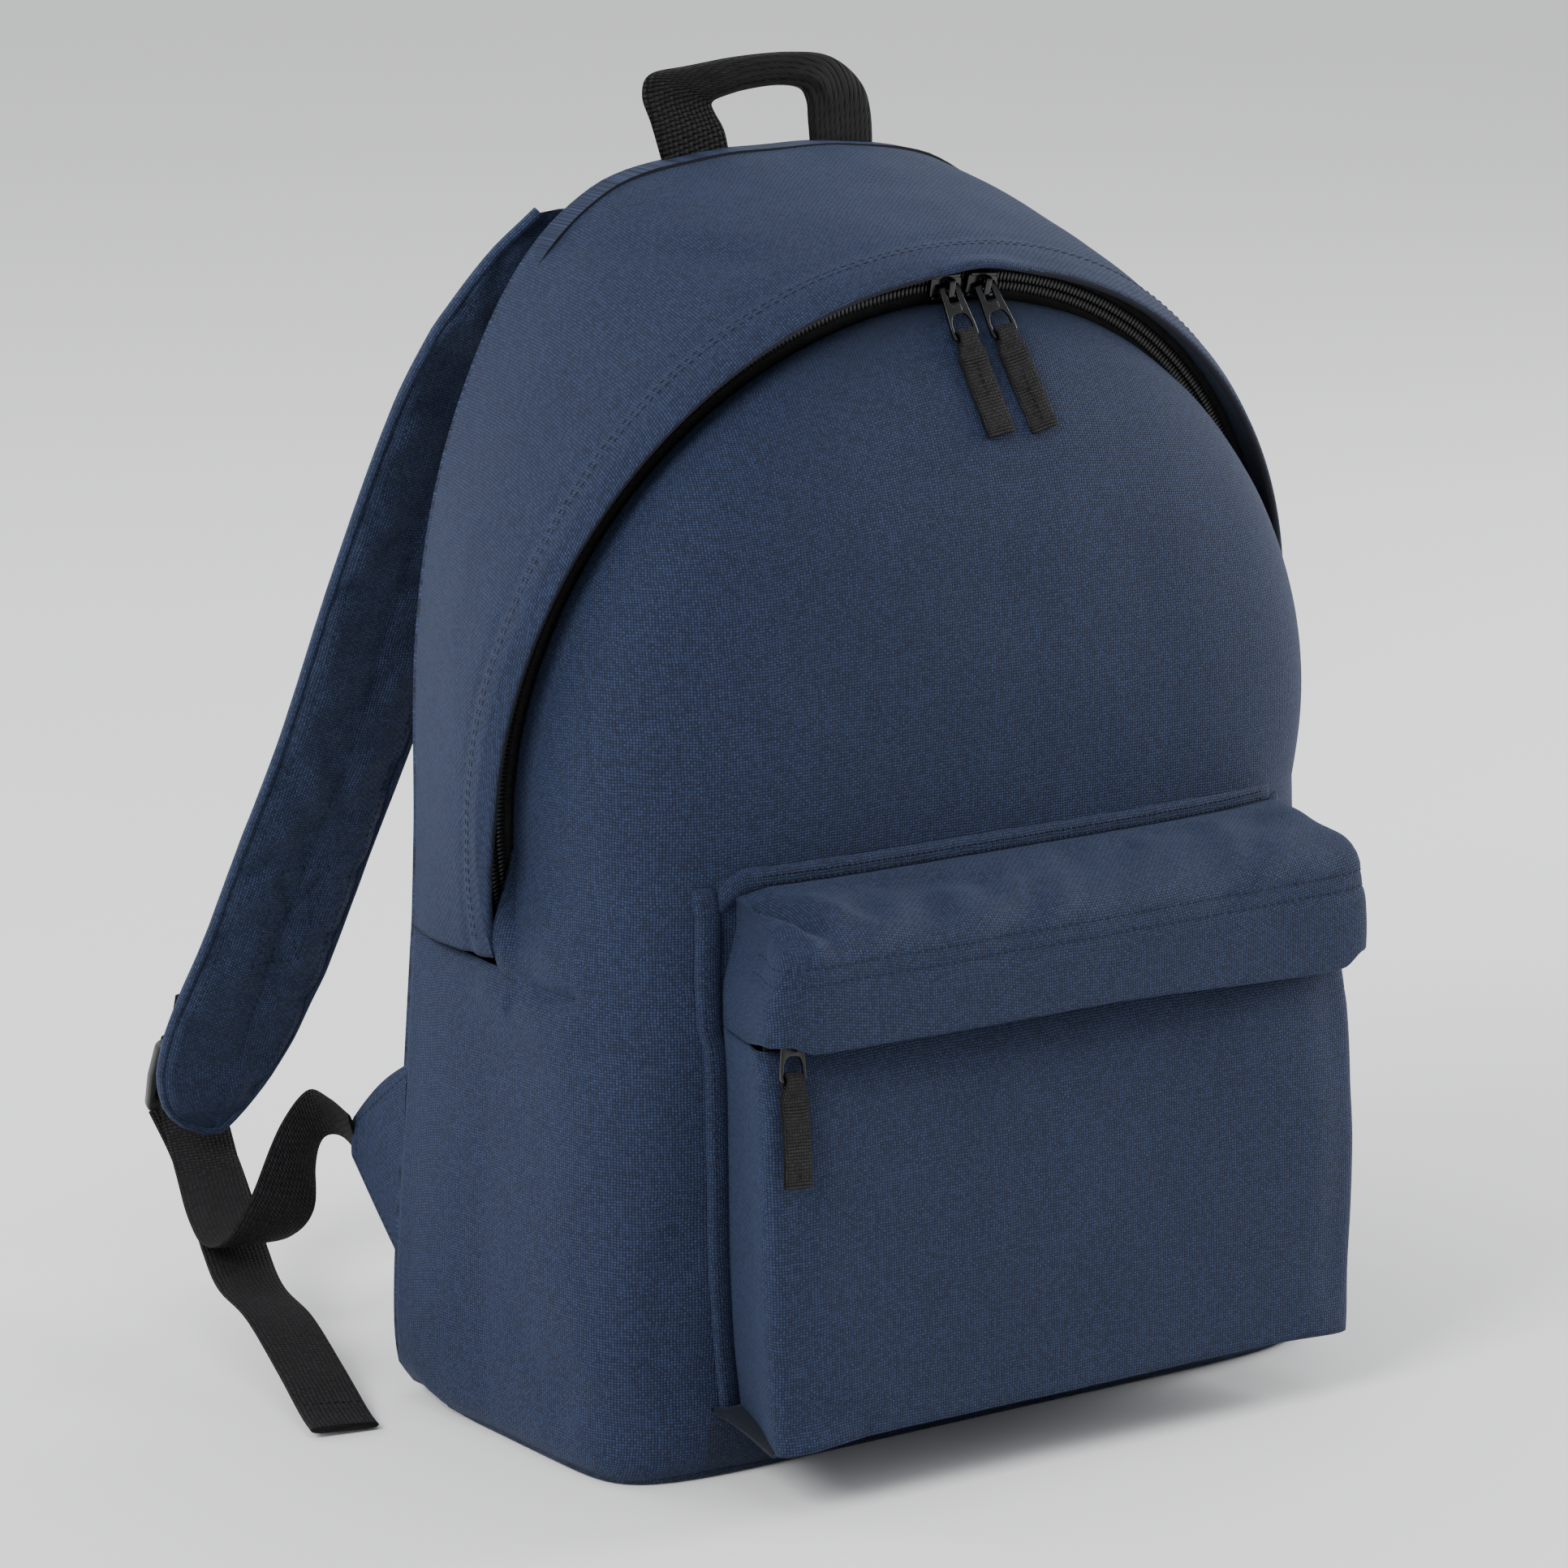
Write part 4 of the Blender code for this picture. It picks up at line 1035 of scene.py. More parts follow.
def coil_row(name, inner, outer, out, height, span, pitch, material="coil"):
    """The turns of a zip's coil, each a small rounded loop across the band."""
    middle, reach = (inner + outer) / 2, (outer - inner) / 2
    count = int((span[1] - span[0]) * middle / pitch)
    turns = np.linspace(*span, count)
    around = np.linspace(0, 2 * math.pi, 8, endpoint=False)
    rings = np.array([-1.0, -0.75, 0.0, 0.75, 1.0])
    swell = np.array([0.25, 0.85, 1.0, 0.85, 0.25])
    points, faces = [], []
    for turn in turns:
        centre = zip_point(turn, middle, out)
        along = zip_point(turn + 0.001, middle, out) - centre
        along = unit(along)
        across = unit(zip_point(turn, middle + 0.001, out) - centre)
        start = len(points)
        for place, size in zip(rings, swell):
            for a in around:
                points.append(tuple(
                    centre
                    + across * place * reach
                    + along * 0.43 * pitch * size * math.cos(a)
                    + OUT_OF_ZIP * height / 2 * size * math.sin(a)
                ))
        for i in range(len(rings) - 1):
            for j in range(8):
                k = (j + 1) % 8
                faces.append((start + 8 * i + j, start + 8 * i + k,
                              start + 8 * i + 8 + k, start + 8 * i + 8 + j))
        faces.append(tuple(start + j for j in range(7, -1, -1)))
        faces.append(tuple(start + 32 + j for j in range(8)))
    mesh = new_mesh(name, points, faces)
    faced_out(mesh)
    return link(name, mesh, [material])


def build_main_zip():
    """Two rows of coil, two tapes and two end stops; the front ones are baked in place."""
    chain_in, chain_out = CHAIN_RADIUS - CHAIN_HALF, CHAIN_RADIUS + CHAIN_HALF
    span = (-ZIP_COVERED, ZIP_COVERED)
    front = [
        coil_row("zip_teeth_front", chain_in, CHAIN_RADIUS + 0.0001, -0.0009, 0.0010, span, 0.0016),
        zip_band("zip_tape_inner", chain_in - 0.0068, CHAIN_RADIUS - 0.0008, -0.0014, 0.0007, span,
                 "zip_tape"),
    ]
    rear = [
        coil_row("zip_teeth_rear", CHAIN_RADIUS - 0.0001, chain_out, -0.0009, 0.0010, span, 0.0016),
        zip_band("zip_tape_outer", CHAIN_RADIUS + 0.0008, chain_out + 0.0034, -0.0018, 0.0007,
                 (-HOOD_END, HOOD_END), "zip_tape"),
    ]
    for made, node in zip(front, ("zip_coil_front", "zip_tape_front")):
        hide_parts(node)
        blend_front(made)
    for made, node in zip(rear, ("zip_coil_rear", "zip_tape_rear")):
        stand_in(made, "bag", node)
    for name, sign in SIDES:
        angles = sorted((sign * math.radians(109.6), sign * math.radians(111.4)))
        made = coil_row(f"zip_stop_{name}", chain_in - 0.0005, chain_out + 0.0003, -0.0006, 0.0028,
                        angles, 0.0026, "metal")
        stand_in(made, "bag", f"zip_end_{name}")


def blend_front(made):
    """Bakes a piece's placement into its mesh."""
    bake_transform(made)


# ---- sliders, pullers and tabs ------------------------------------------------------------
def build_slider(prefix, matrix):
    """A slider: a flared body with side flanges and a bail over it."""
    body_loop = rounded_loop(
        [(0.0062, 0.0026), (0.0020, 0.0044), (-0.0062, 0.0040),
         (-0.0062, -0.0040), (0.0020, -0.0044), (0.0062, -0.0026)],
        [0.0018, 0.004, 0.0018, 0.0018, 0.004, 0.0018], 7)
    low = matrix @ Matrix.Translation((0, 0, SLIDER_BASE * 0.5))
    body = plate("slider_body", [body_loop], SLIDER_BASE, low, 0.0005, ["metal"])
    flanges = []
    for sign in (-1, 1):
        loop = rounded_loop(
            rectangle(-0.0058, 0.0050, sign * 0.0036 - 0.0006, sign * 0.0036 + 0.0006), 0.0005, 4)
        raised = matrix @ Matrix.Translation((0, 0, SLIDER_BASE + 0.0002))
        flanges.append(plate("slider_flange", [loop], 0.0010, raised, 0.0003, ["metal"]))
    outer = rounded_loop(rectangle(-0.0036, 0.0036, SLIDER_BASE - 0.0006, BAIL_TOP), 0.0016, 7)
    inner = rounded_loop(
        rectangle(-0.0023, 0.0023, SLIDER_BASE + 0.0001, BAIL_TOP - 0.0012), 0.0009, 6)
    across = matrix @ Matrix(((0, 0, 1, 0), (1, 0, 0, 0), (0, 1, 0, 0), (0, 0, 0, 1)))
    bail = plate("slider_bail", [outer, inner], 0.0024, across, 0.0005, ["metal"])
    made = joined(f"{prefix}_slider_metal", [body, *flanges, bail])
    stand_in(made, f"{prefix}_slider_body", f"{prefix}_slider")


def build_puller(prefix, matrix):
    """A puller: narrow eye at the top, flaring to a wide end with a D-shaped window."""
    low = -PULLER_LENGTH
    outline = rounded_loop(
        [(0.0041, 0.0009), (-0.0041, 0.0009), (-0.0043, -0.0060), (-0.0050, -0.0140),
         (-0.0050, low), (0.0050, low), (0.0050, -0.0140), (0.0043, -0.0060)],
        [0.0010, 0.0010, 0.006, 0.004, 0.0016, 0.0016, 0.004, 0.006], 8)
    eye = rounded_loop(rectangle(-0.0018, 0.0018, -0.0052, -0.0007), 0.0007, 5)
    window = rounded_loop(
        [(0.0026, -0.0094), (-0.0026, -0.0094), (-0.0038, -0.0125), (-0.0038, -WINDOW_LOW),
         (0.0038, -WINDOW_LOW), (0.0038, -0.0125)],
        [0.0026, 0.0026, 0.002, 0.0006, 0.0006, 0.002], 8)
    body = plate("puller_plate", [outline, eye, window], 0.0015, matrix, 0.00045, ["metal"])
    ridge_loop = rounded_loop(rectangle(-0.0017, 0.0017, -0.0088, -0.0058), 0.0008, 5)
    raised = matrix @ Matrix.Translation((0, 0, 0.0006))
    ridge = plate("puller_ridge", [ridge_loop], 0.0008, raised, 0.0003, ["metal"])
    made = joined(f"{prefix}_puller_metal", [body, ridge])
    stand_in(made, f"{prefix}_puller_body", f"{prefix}_puller")


def build_tab(prefix, matrix, seed):
    """A tab of ribbed tape folded round the puller's bar and sewn down its middle."""
    half_gap, radius = 0.00055, 0.0019
    bottom = -TAB_LENGTH + 0.0050
    profile = [(half_gap, z) for z in np.linspace(bottom, -0.0050, 60)]
    profile += [
        (radius * math.cos(turn), radius * math.sin(turn))
        for turn in np.linspace(math.radians(-35), math.radians(215), 24)
    ]
    profile += [(-half_gap, z) for z in np.linspace(-0.0050, bottom, 60)]
    profile = np.array([(0.0, y, z) for z, y in profile])
    line = evenly(profile, 330)
    along = np.append(0, np.cumsum(np.linalg.norm(np.diff(line, axis=0), axis=1)))
    out = unit(np.cross(np.gradient(line, axis=0), (1.0, 0, 0)))
    below = smooth_step((-line[:, 1] - 0.001) / 0.006)
    half_width = 0.0036 + 0.0017 * below
    rib = 0.00026 * np.abs(np.sin(math.pi * along / 0.00115))
    sections = []
    for point, normal, wide, ridge in zip(line, out, half_width, rib):
        section = strip_section(wide, 0.00042, 11)
        lift = section[:, 1] + np.sign(section[:, 1]) * ridge
        centre = np.exp(-((section[:, 0] / 0.0007) ** 2)) * 0.00022
        lift -= np.where(section[:, 1] > 0, centre, 0) * smooth_step((-point[1] - 0.007) / 0.002)
        sections.append(point + section[:, :1] * (1.0, 0, 0) + lift[:, None] * normal)
    sections = np.array(sections)
    sway = 0.0009 * np.sin(sections[..., 1] * 140 + seed)
    fade = smooth_step(-sections[..., 1] / 0.02)
    sections[..., 2] += sway * fade * 0.5
    sections = apply_matrix(matrix, sections.reshape(-1, 3)).reshape(sections.shape)
    mesh = tube_mesh(f"{prefix}_tab_tape", sections)
    made = link(f"{prefix}_tab_tape", mesh, ["tab_webbing"])
    stand_in(made, f"{prefix}_tab_body", f"{prefix}_pull_tab")
    run = [(0.0, y, half_gap + 0.0004) for y in np.linspace(-0.009, bottom + 0.004, 24)]
    spots = apply_matrix(matrix, run)
    normals = np.tile(np.array(matrix)[:3, 2], (len(spots), 1))
    stitched(f"{prefix}_tab_stitching", [(spots, normals)], f"{prefix}_tab_body", "black_thread",
             0.0016, 0.0005, 0.0006)


def build_pull(prefix, matrix, lift, lean, tab_lift, seed):
    build_slider(prefix, matrix)
    hinge = matrix @ Matrix.Translation((0, 0, BAIL_HEIGHT))
    hanging = hinge @ Matrix.Rotation(lean, 4, "Z") @ Matrix.Rotation(lift, 4, "X")
    build_puller(prefix, hanging)
    bar = hanging @ Matrix.Translation((0, -(PULLER_LENGTH + WINDOW_LOW) / 2, 0))
    build_tab(prefix, bar @ Matrix.Rotation(tab_lift, 4, "X"), seed)


def build_pulls():
    for prefix, degrees, lean, seed in (("main_left", -0.8, 0.12, 0), ("main_right", 4.7, 0.30, 2)):
        turn = math.radians(degrees)
        origin = zip_point(turn, CHAIN_RADIUS, 0.0011)
        along = np.array((math.cos(turn), 0, 0)) - UP_ZIP * math.sin(turn)
        away = np.array((math.sin(turn), 0, 0)) + UP_ZIP * math.cos(turn)
        build_pull(prefix, axes_matrix(origin, along, away), -MAIN_PULL_LIFT, lean, 0.0, seed)
    origin = (POCKET_SLIDER_X, POCKET_ZIP_Y - 0.0027, POCKET_ZIP_Z)
    matrix = axes_matrix(origin, (1, 0, 0), (0, 0, 1))
    build_pull("pocket", matrix, POCKET_PULL_LIFT, POCKET_PULL_LEAN, POCKET_TAB_LIFT, 4)


# ---- front pocket -------------------------------------------------------------------------
SHELL_PROFILE = (
    (0.1218, 0.0417, 0.0235),
    (0.1238, 0.0395, 0.0500),
    (0.1247, 0.0382, 0.0800),
    (0.1245, 0.0368, 0.1100),
    (0.1240, 0.0348, 0.1350),
    (0.1235, 0.0318, 0.1480),
    (0.1230, 0.0292, 0.1556),
)
HOOD_PROFILE = (
    (0.1160, 0.0022, POCKET_TOP),
    (0.1190, 0.0130, 0.1992),
    (0.1225, 0.0240, 0.1962),
    (0.1255, 0.0330, 0.1922),
    (0.1272, 0.0378, 0.1868),
    (0.1280, 0.0393, 0.1800),
    (0.1285, 0.0398, 0.1700),
    (0.1285, 0.0398, HOOD_LIP_Z),
)
POCKET_INSIDE = (0.0, -0.088, 0.11)


def pocket_row(half, depth, z, bulge, columns):
    """One level of a U round the pocket, evenly spaced; its ends lie on the bag's front."""
    turn = np.linspace(-math.pi / 2, math.pi / 2, 721)
    x, forward = corner_curve(half, depth, POCKET_SQUARENESS, turn)
    forward = forward + bulge * (1 - np.minimum(np.abs(x / half), 1) ** 2)
    x = x - np.sign(x) * POCKET_SPLAY * np.maximum(depth - forward, 0)
    share = np.maximum(0, 1 - forward / 0.02)
    on_bag = on_front(x, z) - 0.0008
    y = POCKET_BACK_Y - forward + share * (on_bag - POCKET_BACK_Y)
    return evenly(np.stack([x, y, np.full_like(x, z)], axis=1), columns)


def corner_drop(points):
    """The pocket's lower corners hang as points, the left one lower."""
    rise = np.clip(1 - (points[..., 2] - POCKET_BOTTOM) / 0.035, 0, 1) ** 1.5
    drop = np.zeros(points.shape[:2])
    for sign, size in ((-1, 0.0026), (1, 0.0022)):
        near = np.hypot(points[..., 0] - sign * 0.120, points[..., 1] + 0.113)
        drop += size * np.exp(-((near / 0.022) ** 2))
    return drop * rise


def pocket_relief(points):
    """How far the pocket's cloth stands out from its smooth shape."""
    out = 0.0013 * unevenness(points, 0.07, 11) + 0.0005 * unevenness(points, 0.025, 12)
    for sign in (-1, 1):
        edge = [(sign * 0.112, -0.113, 0.150), (sign * 0.114, -0.115, 0.09),
                (sign * 0.110, -0.116, 0.04)]
        out -= fold_along(points, edge, 0.0010, 0.007)
    out -= fold_along(
        points, [(-0.118, -0.114, 0.030), (-0.104, -0.116, 0.034), (-0.088, -0.117, 0.028)],
        0.0012, 0.005)
    return out


def build_pocket_shell():
    """The pocket's front and sides, and its floor."""
    columns = 151
    halves, depths, heights = zip(*SHELL_PROFILE)
    levels = np.linspace(POCKET_BOTTOM + 0.0005, 0.1556, 54)
    rows = []
    for z in levels:
        share = (z - POCKET_BOTTOM) / (HOOD_LIP_Z - POCKET_BOTTOM)
        bulge = POCKET_BULGE * math.sin(math.pi * share)
        half, depth = eased(z, heights, halves), eased(z, heights, depths)
        rows.append(pocket_row(half, depth, z, bulge, columns))
    grid = np.array(rows)
    normals = grid_normals(grid, POCKET_INSIDE)
    ends = edge_fade(columns, 12.0)[None, :]
    top = smooth_step((0.156 - grid[..., 2]) / 0.01)
    grid = grid + normals * (pocket_relief(grid) * ends * top)[..., None]
    grid[..., 2] -= corner_drop(grid)
    made = cloth_piece(
        "pocket_cloth", [(grid, metric_uv(grid))], POCKET_INSIDE, 0.0012, ["cloth", "lining"])
    stand_in(made, "bag", "pocket_shell")
    bottom = grid[0]
    foot = np.stack([bottom[:, 0] * 0.985, on_front(bottom[:, 0] * 0.985, POCKET_BOTTOM) - 0.0006,
                     np.full(columns, POCKET_BOTTOM + 0.002)], axis=1)
    tuck = bottom + (0, 0.0016, -0.0006)
    under = [bottom, tuck] + [
        tuck + share * (foot - tuck) + (0, 0, 0.0015 * math.sin(math.pi * share))
        for share in np.linspace(0, 1, 10)[1:]
    ]
    under = np.array(under)
    base = cloth_piece(
        "pocket_floor_cloth", [(under, metric_uv(under))], POCKET_INSIDE, 0.0010,
        ["cloth", "lining"])
    stand_in(base, "bag", "pocket_base")


def hood_folds(points):
    """Wrinkles of the pocket's top: a pit by the left corner and slanting folds along it."""
    slanted = points @ np.array([[1, 0, 0.5], [0, 1, 0], [-0.6, 0, 1]]).T
    out = 0.0019 * unevenness(slanted, 0.018, 21, (0.45, 1.0, 1.6))
    out += 0.0021 * unevenness(points, 0.05, 22, (0.5, 1.0, 1.5))
    flat = smooth_step((points[..., 2] - 0.172) / 0.012)
    out = out * (0.16 + 0.84 * flat)
    out -= fold_along(points, [(-0.112, -0.080, 0.1985), (-0.106, -0.092, 0.1955),
                               (-0.099, -0.101, 0.1920)], 0.0048, 0.0030)
    out -= fold_along(points, [(-0.103, -0.100, 0.1920), (-0.098, -0.106, 0.1885)], 0.0040, 0.0048)
    out += fold_along(points, [(-0.116, -0.092, 0.1950), (-0.110, -0.106, 0.1880)], 0.0026, 0.0050)
    out += fold_along(points, [(-0.092, -0.090, 0.1990), (-0.082, -0.104, 0.1940)], 0.0020, 0.0050)
    out -= fold_along(points, [(-0.060, -0.085, 0.1990), (-0.010, -0.092, 0.1970),
                               (0.040, -0.086, 0.1990)], 0.0016, 0.0055)
    return out


def hood_corners(grid):
    """Draws in the hood's upper left corner, and lifts its lip at both front corners."""
    x, y, z = grid[..., 0].copy(), grid[..., 1], grid[..., 2].copy()
    left = smooth_step((-x - 0.095) / 0.025)
    high = smooth_step((z - 0.166) / 0.026)
    x += 0.0062 * left * high + 0.0022 * left
    z -= 0.0030 * left * smooth_step((z - 0.185) / 0.012)
    front = smooth_step((-y - 0.088) / 0.020)
    lip = smooth_step((0.176 - z) / 0.018) * front
    z += 0.0035 * lip * smooth_step((-grid[..., 0] - 0.108) / 0.012)
    z -= 0.0042 * lip * smooth_step(grid[..., 0] / 0.11) * (1 - smooth_step((x - 0.112) / 0.010))
    return np.stack([x, y, z], axis=-1)


def build_pocket_hood():
    """The cloth over the pocket's zip, with a rolled lip and two rows of stitches."""
    columns = 171
    profile = smooth_path([(h, d, z) for h, d, z in HOOD_PROFILE], 44)
    rows = []
    for half, depth, z in profile:
        bulge = POCKET_BULGE * (POCKET_TOP - z) / (POCKET_TOP - HOOD_LIP_Z)
        rows.append(pocket_row(half, depth, z, bulge, columns))
    grid = np.array(rows)
    normals = grid_normals(grid, POCKET_INSIDE)
    ends = edge_fade(columns, 14.0)[None, :]
    seams = sum(np.exp(-(((grid[..., 2] - z) / 0.0009) ** 2)) for z in POCKET_HOOD_SEAMS)
    top = smooth_step(np.arange(len(grid)) / 5.0)[:, None]
    grid = grid + normals * ((hood_folds(grid) - 0.0004 * seams) * ends * top)[..., None]
    grid = hood_corners(grid)
    out = grid_normals(grid, POCKET_INSIDE)[-1]
    down = unit(grid[-1] - grid[-3])
    roll = rolled_edge(grid[-1], out, down, POCKET_HOOD_ROLL, 9)
    facing = [roll[-1] - share * 0.007 * down for share in (0.33, 0.66, 1.0)]
    whole = np.concatenate([grid, roll, facing])
    made = cloth_piece(
        "pocket_hood_cloth", [(whole, metric_uv(whole))], POCKET_INSIDE, 0.0007, ["cloth", "lining"])
    stand_in(made, "bag", "pocket_hood")
    tree = surface_tree(made)
    runs = []
    for z in POCKET_HOOD_SEAMS:
        row = grid[int(np.argmin(np.abs(profile[:, 2] - z)))].copy()
        row[:, 2] = z
        spots, found = onto(tree, row[10:-10])
        runs.append((spots, outward(spots, found, POCKET_INSIDE)))
    stitched("hood_stitching", runs, "bag", length=0.0022, gap=0.0009)
    build_welt()


def build_welt():
    """The raised seam along the pocket's top, with two rows of stitches."""
    xs = np.linspace(-0.1140, 0.1165, 94)
    section = [(0.0, -0.0034), (0.0020, -0.0030), (0.0031, -0.0004), (0.0029, 0.0036),
               (0.0016, 0.0058), (0.0, 0.0064)]
    rings = []
    for x in xs:
        wave = 0.0003 * noise.noise(Vector((x * 60, 3.0, 0.0)))
        y = on_front(x, POCKET_TOP) + 0.0006
        drop = 0.0060 * float(smooth_step((-x - 0.1050) / 0.0095))
        ring = [(x, y - out - wave, POCKET_TOP + up - drop) for out, up in section]
        ring += [(x, y + 0.0008, POCKET_TOP + rise - drop) for rise in (0.0040, -0.0020)]
        rings.append(ring)
    made = link("pocket_top_seam", tube_mesh("pocket_top_seam", rings), ["cloth"])
    subdivided(made)
    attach(made, "bag")
    tree = surface_tree(made)
    runs = []
    for level in (0.0006, 0.0034):
        line = np.array([(x, on_front(x, POCKET_TOP) - 0.0030, POCKET_TOP + level)
                         for x in xs[6:-2]])
        runs.append(onto(tree, line, (0, -1, 0)))
    stitched("pocket_top_stitching", runs, "bag", "black_thread", 0.0012, 0.0011)


def build_flanges():
    """The bound seam allowance along each side of the pocket."""
    heights = np.linspace(POCKET_BOTTOM - 0.002, POCKET_TOP + 0.001, 60)
    shell = list(SHELL_PROFILE[:-1]) + list(HOOD_PROFILE[::-1])
    halves, depths, levels = zip(*shell)
    runs = {}
    for name, sign in SIDES:
        rows = []
        for z in heights:
            foot = eased(z, levels, halves) - POCKET_SPLAY * eased(z, levels, depths)
            wide = FLANGE_WIDTH + 0.0006 * noise.noise(Vector((z * 30, sign, 0.0)))
            ring = []
            for share, out in ((-0.3, 0.0), (0.0, 0.0016), (0.35, 0.0027), (0.7, 0.0029),
                               (0.92, 0.0025), (1.0, 0.0013), (0.97, 0.0), (0.4, -0.0003)):
                x = foot + share * wide
                ring.append((sign * x, float(on_front(x, z)) - out, z))
            rows.append(ring)
        made = link(f"pocket_flange_{name}_cloth", tube_mesh(f"flange_{name}", rows), ["cloth"])
        subdivided(made)
        stand_in(made, "bag", f"pocket_flange_{name}")
        tree = surface_tree(made)
        line = []
        for z in heights[2:-2]:
            foot = eased(z, levels, halves) - POCKET_SPLAY * eased(z, levels, depths)
            x = foot + 0.72 * FLANGE_WIDTH
            line.append((sign * x, float(on_front(x, z)) - 0.003, z))
        runs[name] = onto(tree, line, (0, -1, 0))
    stitched("flange_stitching", list(runs.values()), "bag", length=0.0020, gap=0.0009)


# ---- handle -------------------------------------------------------------------------------
HANDLE_OUTER = (
    (-0.0390, -0.0090), (-0.0460, 0.0110), (-0.0495, 0.0210), (-0.0462, 0.0282), (-0.0310, 0.0300),
    (-0.0100, 0.0318), (0.0120, 0.0318), (0.0280, 0.0292), (0.0400, 0.0208), (0.0455, 0.0095),
    (0.0466, -0.0100),
)
HANDLE_INNER = (
    (-0.0130, -0.0030), (-0.0160, 0.0070), (-0.0195, 0.0130), (-0.0208, 0.0165), (-0.0170, 0.0182),
    (-0.0070, 0.0200), (0.0060, 0.0206), (0.0150, 0.0190), (0.0180, 0.0150), (0.0190, 0.0080),
    (0.0200, -0.0030),
)
HANDLE_HALF_THICK = (
    0.0009, 0.0010, 0.0014, 0.0021, 0.0026, 0.0028, 0.0028, 0.0026, 0.0019, 0.0012, 0.0009)
HANDLE_FOLDED = (0, 0, 0.2, 0.8, 1, 1, 1, 1, 0.7, 0.1, 0)


def build_handle():
    """The grab handle: flat feet out of the top seam, the grip folded to half its width."""
    foot = np.array((0.0, 0.0696, BAG_HEIGHT - 0.0006))
    rows = []
    for (x0, z0), (x1, z1), thick, fold in zip(
            HANDLE_OUTER, HANDLE_INNER, HANDLE_HALF_THICK, HANDLE_FOLDED):
        rows.append(((x0 + x1) / 2, 0.0, (z0 + z1) / 2, x0, z0, x1, z1, thick, fold))
    rings = []
    shares = np.linspace(-1, 1, 25)
    for k, row in enumerate(smooth_path(rows, 130)):
        outer, inner = np.array((row[3], 0, row[4])), np.array((row[5], 0, row[6]))
        flat = (outer + inner) / 2 + (inner - outer) / 2 * shares[:, None]
        swell = row[7] * np.maximum(1 - np.abs(shares) ** 5, 0.0) ** 0.5
        overlap = row[8] * 0.0007 * (np.tanh((0.45 - shares) / 0.07) + 1) / 2
        wave = 0.0004 * noise.noise(Vector((k * 0.09, 1.0, 0.0)))
        ahead = foot + flat + (0, wave, 0) - (swell + overlap * (swell > 0))[:, None] * (0, 1, 0)
        behind = foot + flat + (0, wave, 0) + swell[:, None] * (0, 1, 0)
        rings.append(np.vstack([ahead, behind[-2:0:-1]]))
    made = link(
        "grab_handle_webbing", tube_mesh("grab_handle_webbing", rings), ["grip_webbing"])
    stand_in(made, "handle", "grab_handle")


# ---- shoulder straps ----------------------------------------------------------------------
STRAP_PATH = (
    (0.0840, 0.0795, 0.4035),
    (0.0905, 0.0905, 0.3700),
    (0.0980, 0.1085, 0.3340),
    (0.1093, 0.1305, 0.2750),
    (0.1207, 0.1475, 0.2160),
    (0.1302, 0.1658, 0.1670),
    (0.1424, 0.1875, 0.1040),
    (0.1475, 0.1955, 0.0760),
)
ADJUSTER_PATH = (
    (0.1472, 0.1045, 0.0830),
    (0.1490, 0.1150, 0.0880),
    (0.1525, 0.1225, 0.0880),
    (0.1570, 0.1265, 0.0770),
    (0.1610, 0.1310, 0.0560),
    (0.1635, 0.1420, 0.0410),
    (0.1635, 0.1590, 0.0345),
    (0.1590, 0.1780, 0.0390),
    (0.1530, 0.1965, 0.0490),
    (0.1490, 0.2100, 0.0590),
    (0.1476, 0.2160, 0.0655),
    (0.1470, 0.2178, 0.0710),
)
WEBBING_SPLIT_Y = 0.1960  # where the webbing is cut into two pieces
ADJUSTER_WIDTHS = (
    (0.45, -0.36, 0.82),
    (0.50, -0.42, 0.76),
    (0.42, -0.30, 0.80),
    (0.50, -0.10, 0.66),
    (0.80, 0.10, 0.35),
    (0.95, 0.20, 0.05),
    (0.98, 0.20, 0.00),
    (0.985, 0.17, 0.00),
    (0.99, 0.14, 0.00),
    (0.99, 0.14, 0.00),
    (0.99, 0.14, 0.00),
    (0.99, 0.14, 0.00),
)
TAIL_PATH = (
    (0.1496, 0.2216, 0.0668),
    (0.1484, 0.2085, 0.0526),
    (0.1528, 0.1885, 0.0392),
    (0.1612, 0.1645, 0.0290),
    (0.1712, 0.1370, 0.0245),
    (0.1760, 0.1100, 0.0215),
    (0.1810, 0.0820, 0.0120),
    (0.1870, 0.0560, 0.0042),
    (0.1900, 0.0440, 0.0024),
)


def mirrored(points, sign):
    return np.asarray(points, float) * (sign, 1, 1)


def strap_frames(sign, count):
    line = smooth_path(mirrored(STRAP_PATH, sign), count)
    turns = np.linspace(0.0, STRAP_TURN, count)
    across = np.stack([sign * np.cos(turns), np.sin(turns), 0 * turns], axis=1)
    normals = unit(np.cross(np.gradient(line, axis=0), across))
    normals *= np.sign(normals[:, 1:2])
    return line, across, normals


OUTER_EDGE = ((0, 15, 31, 46, 80, 150, 280, 323, 338, 352, 362, 368),
              (1.5, 14, 22.0, 26.2, 27, 26.2, 26.8, 29.4, 28.2, 23.5, 15, 3))
INNER_EDGE = ((0, 60, 150, 290, 304, 315, 331, 343, 354, 362, 368),
              (29, 27.5, 26, 24.5, 24, 22.6, 20.4, 17, 12.2, 7.6, 3))


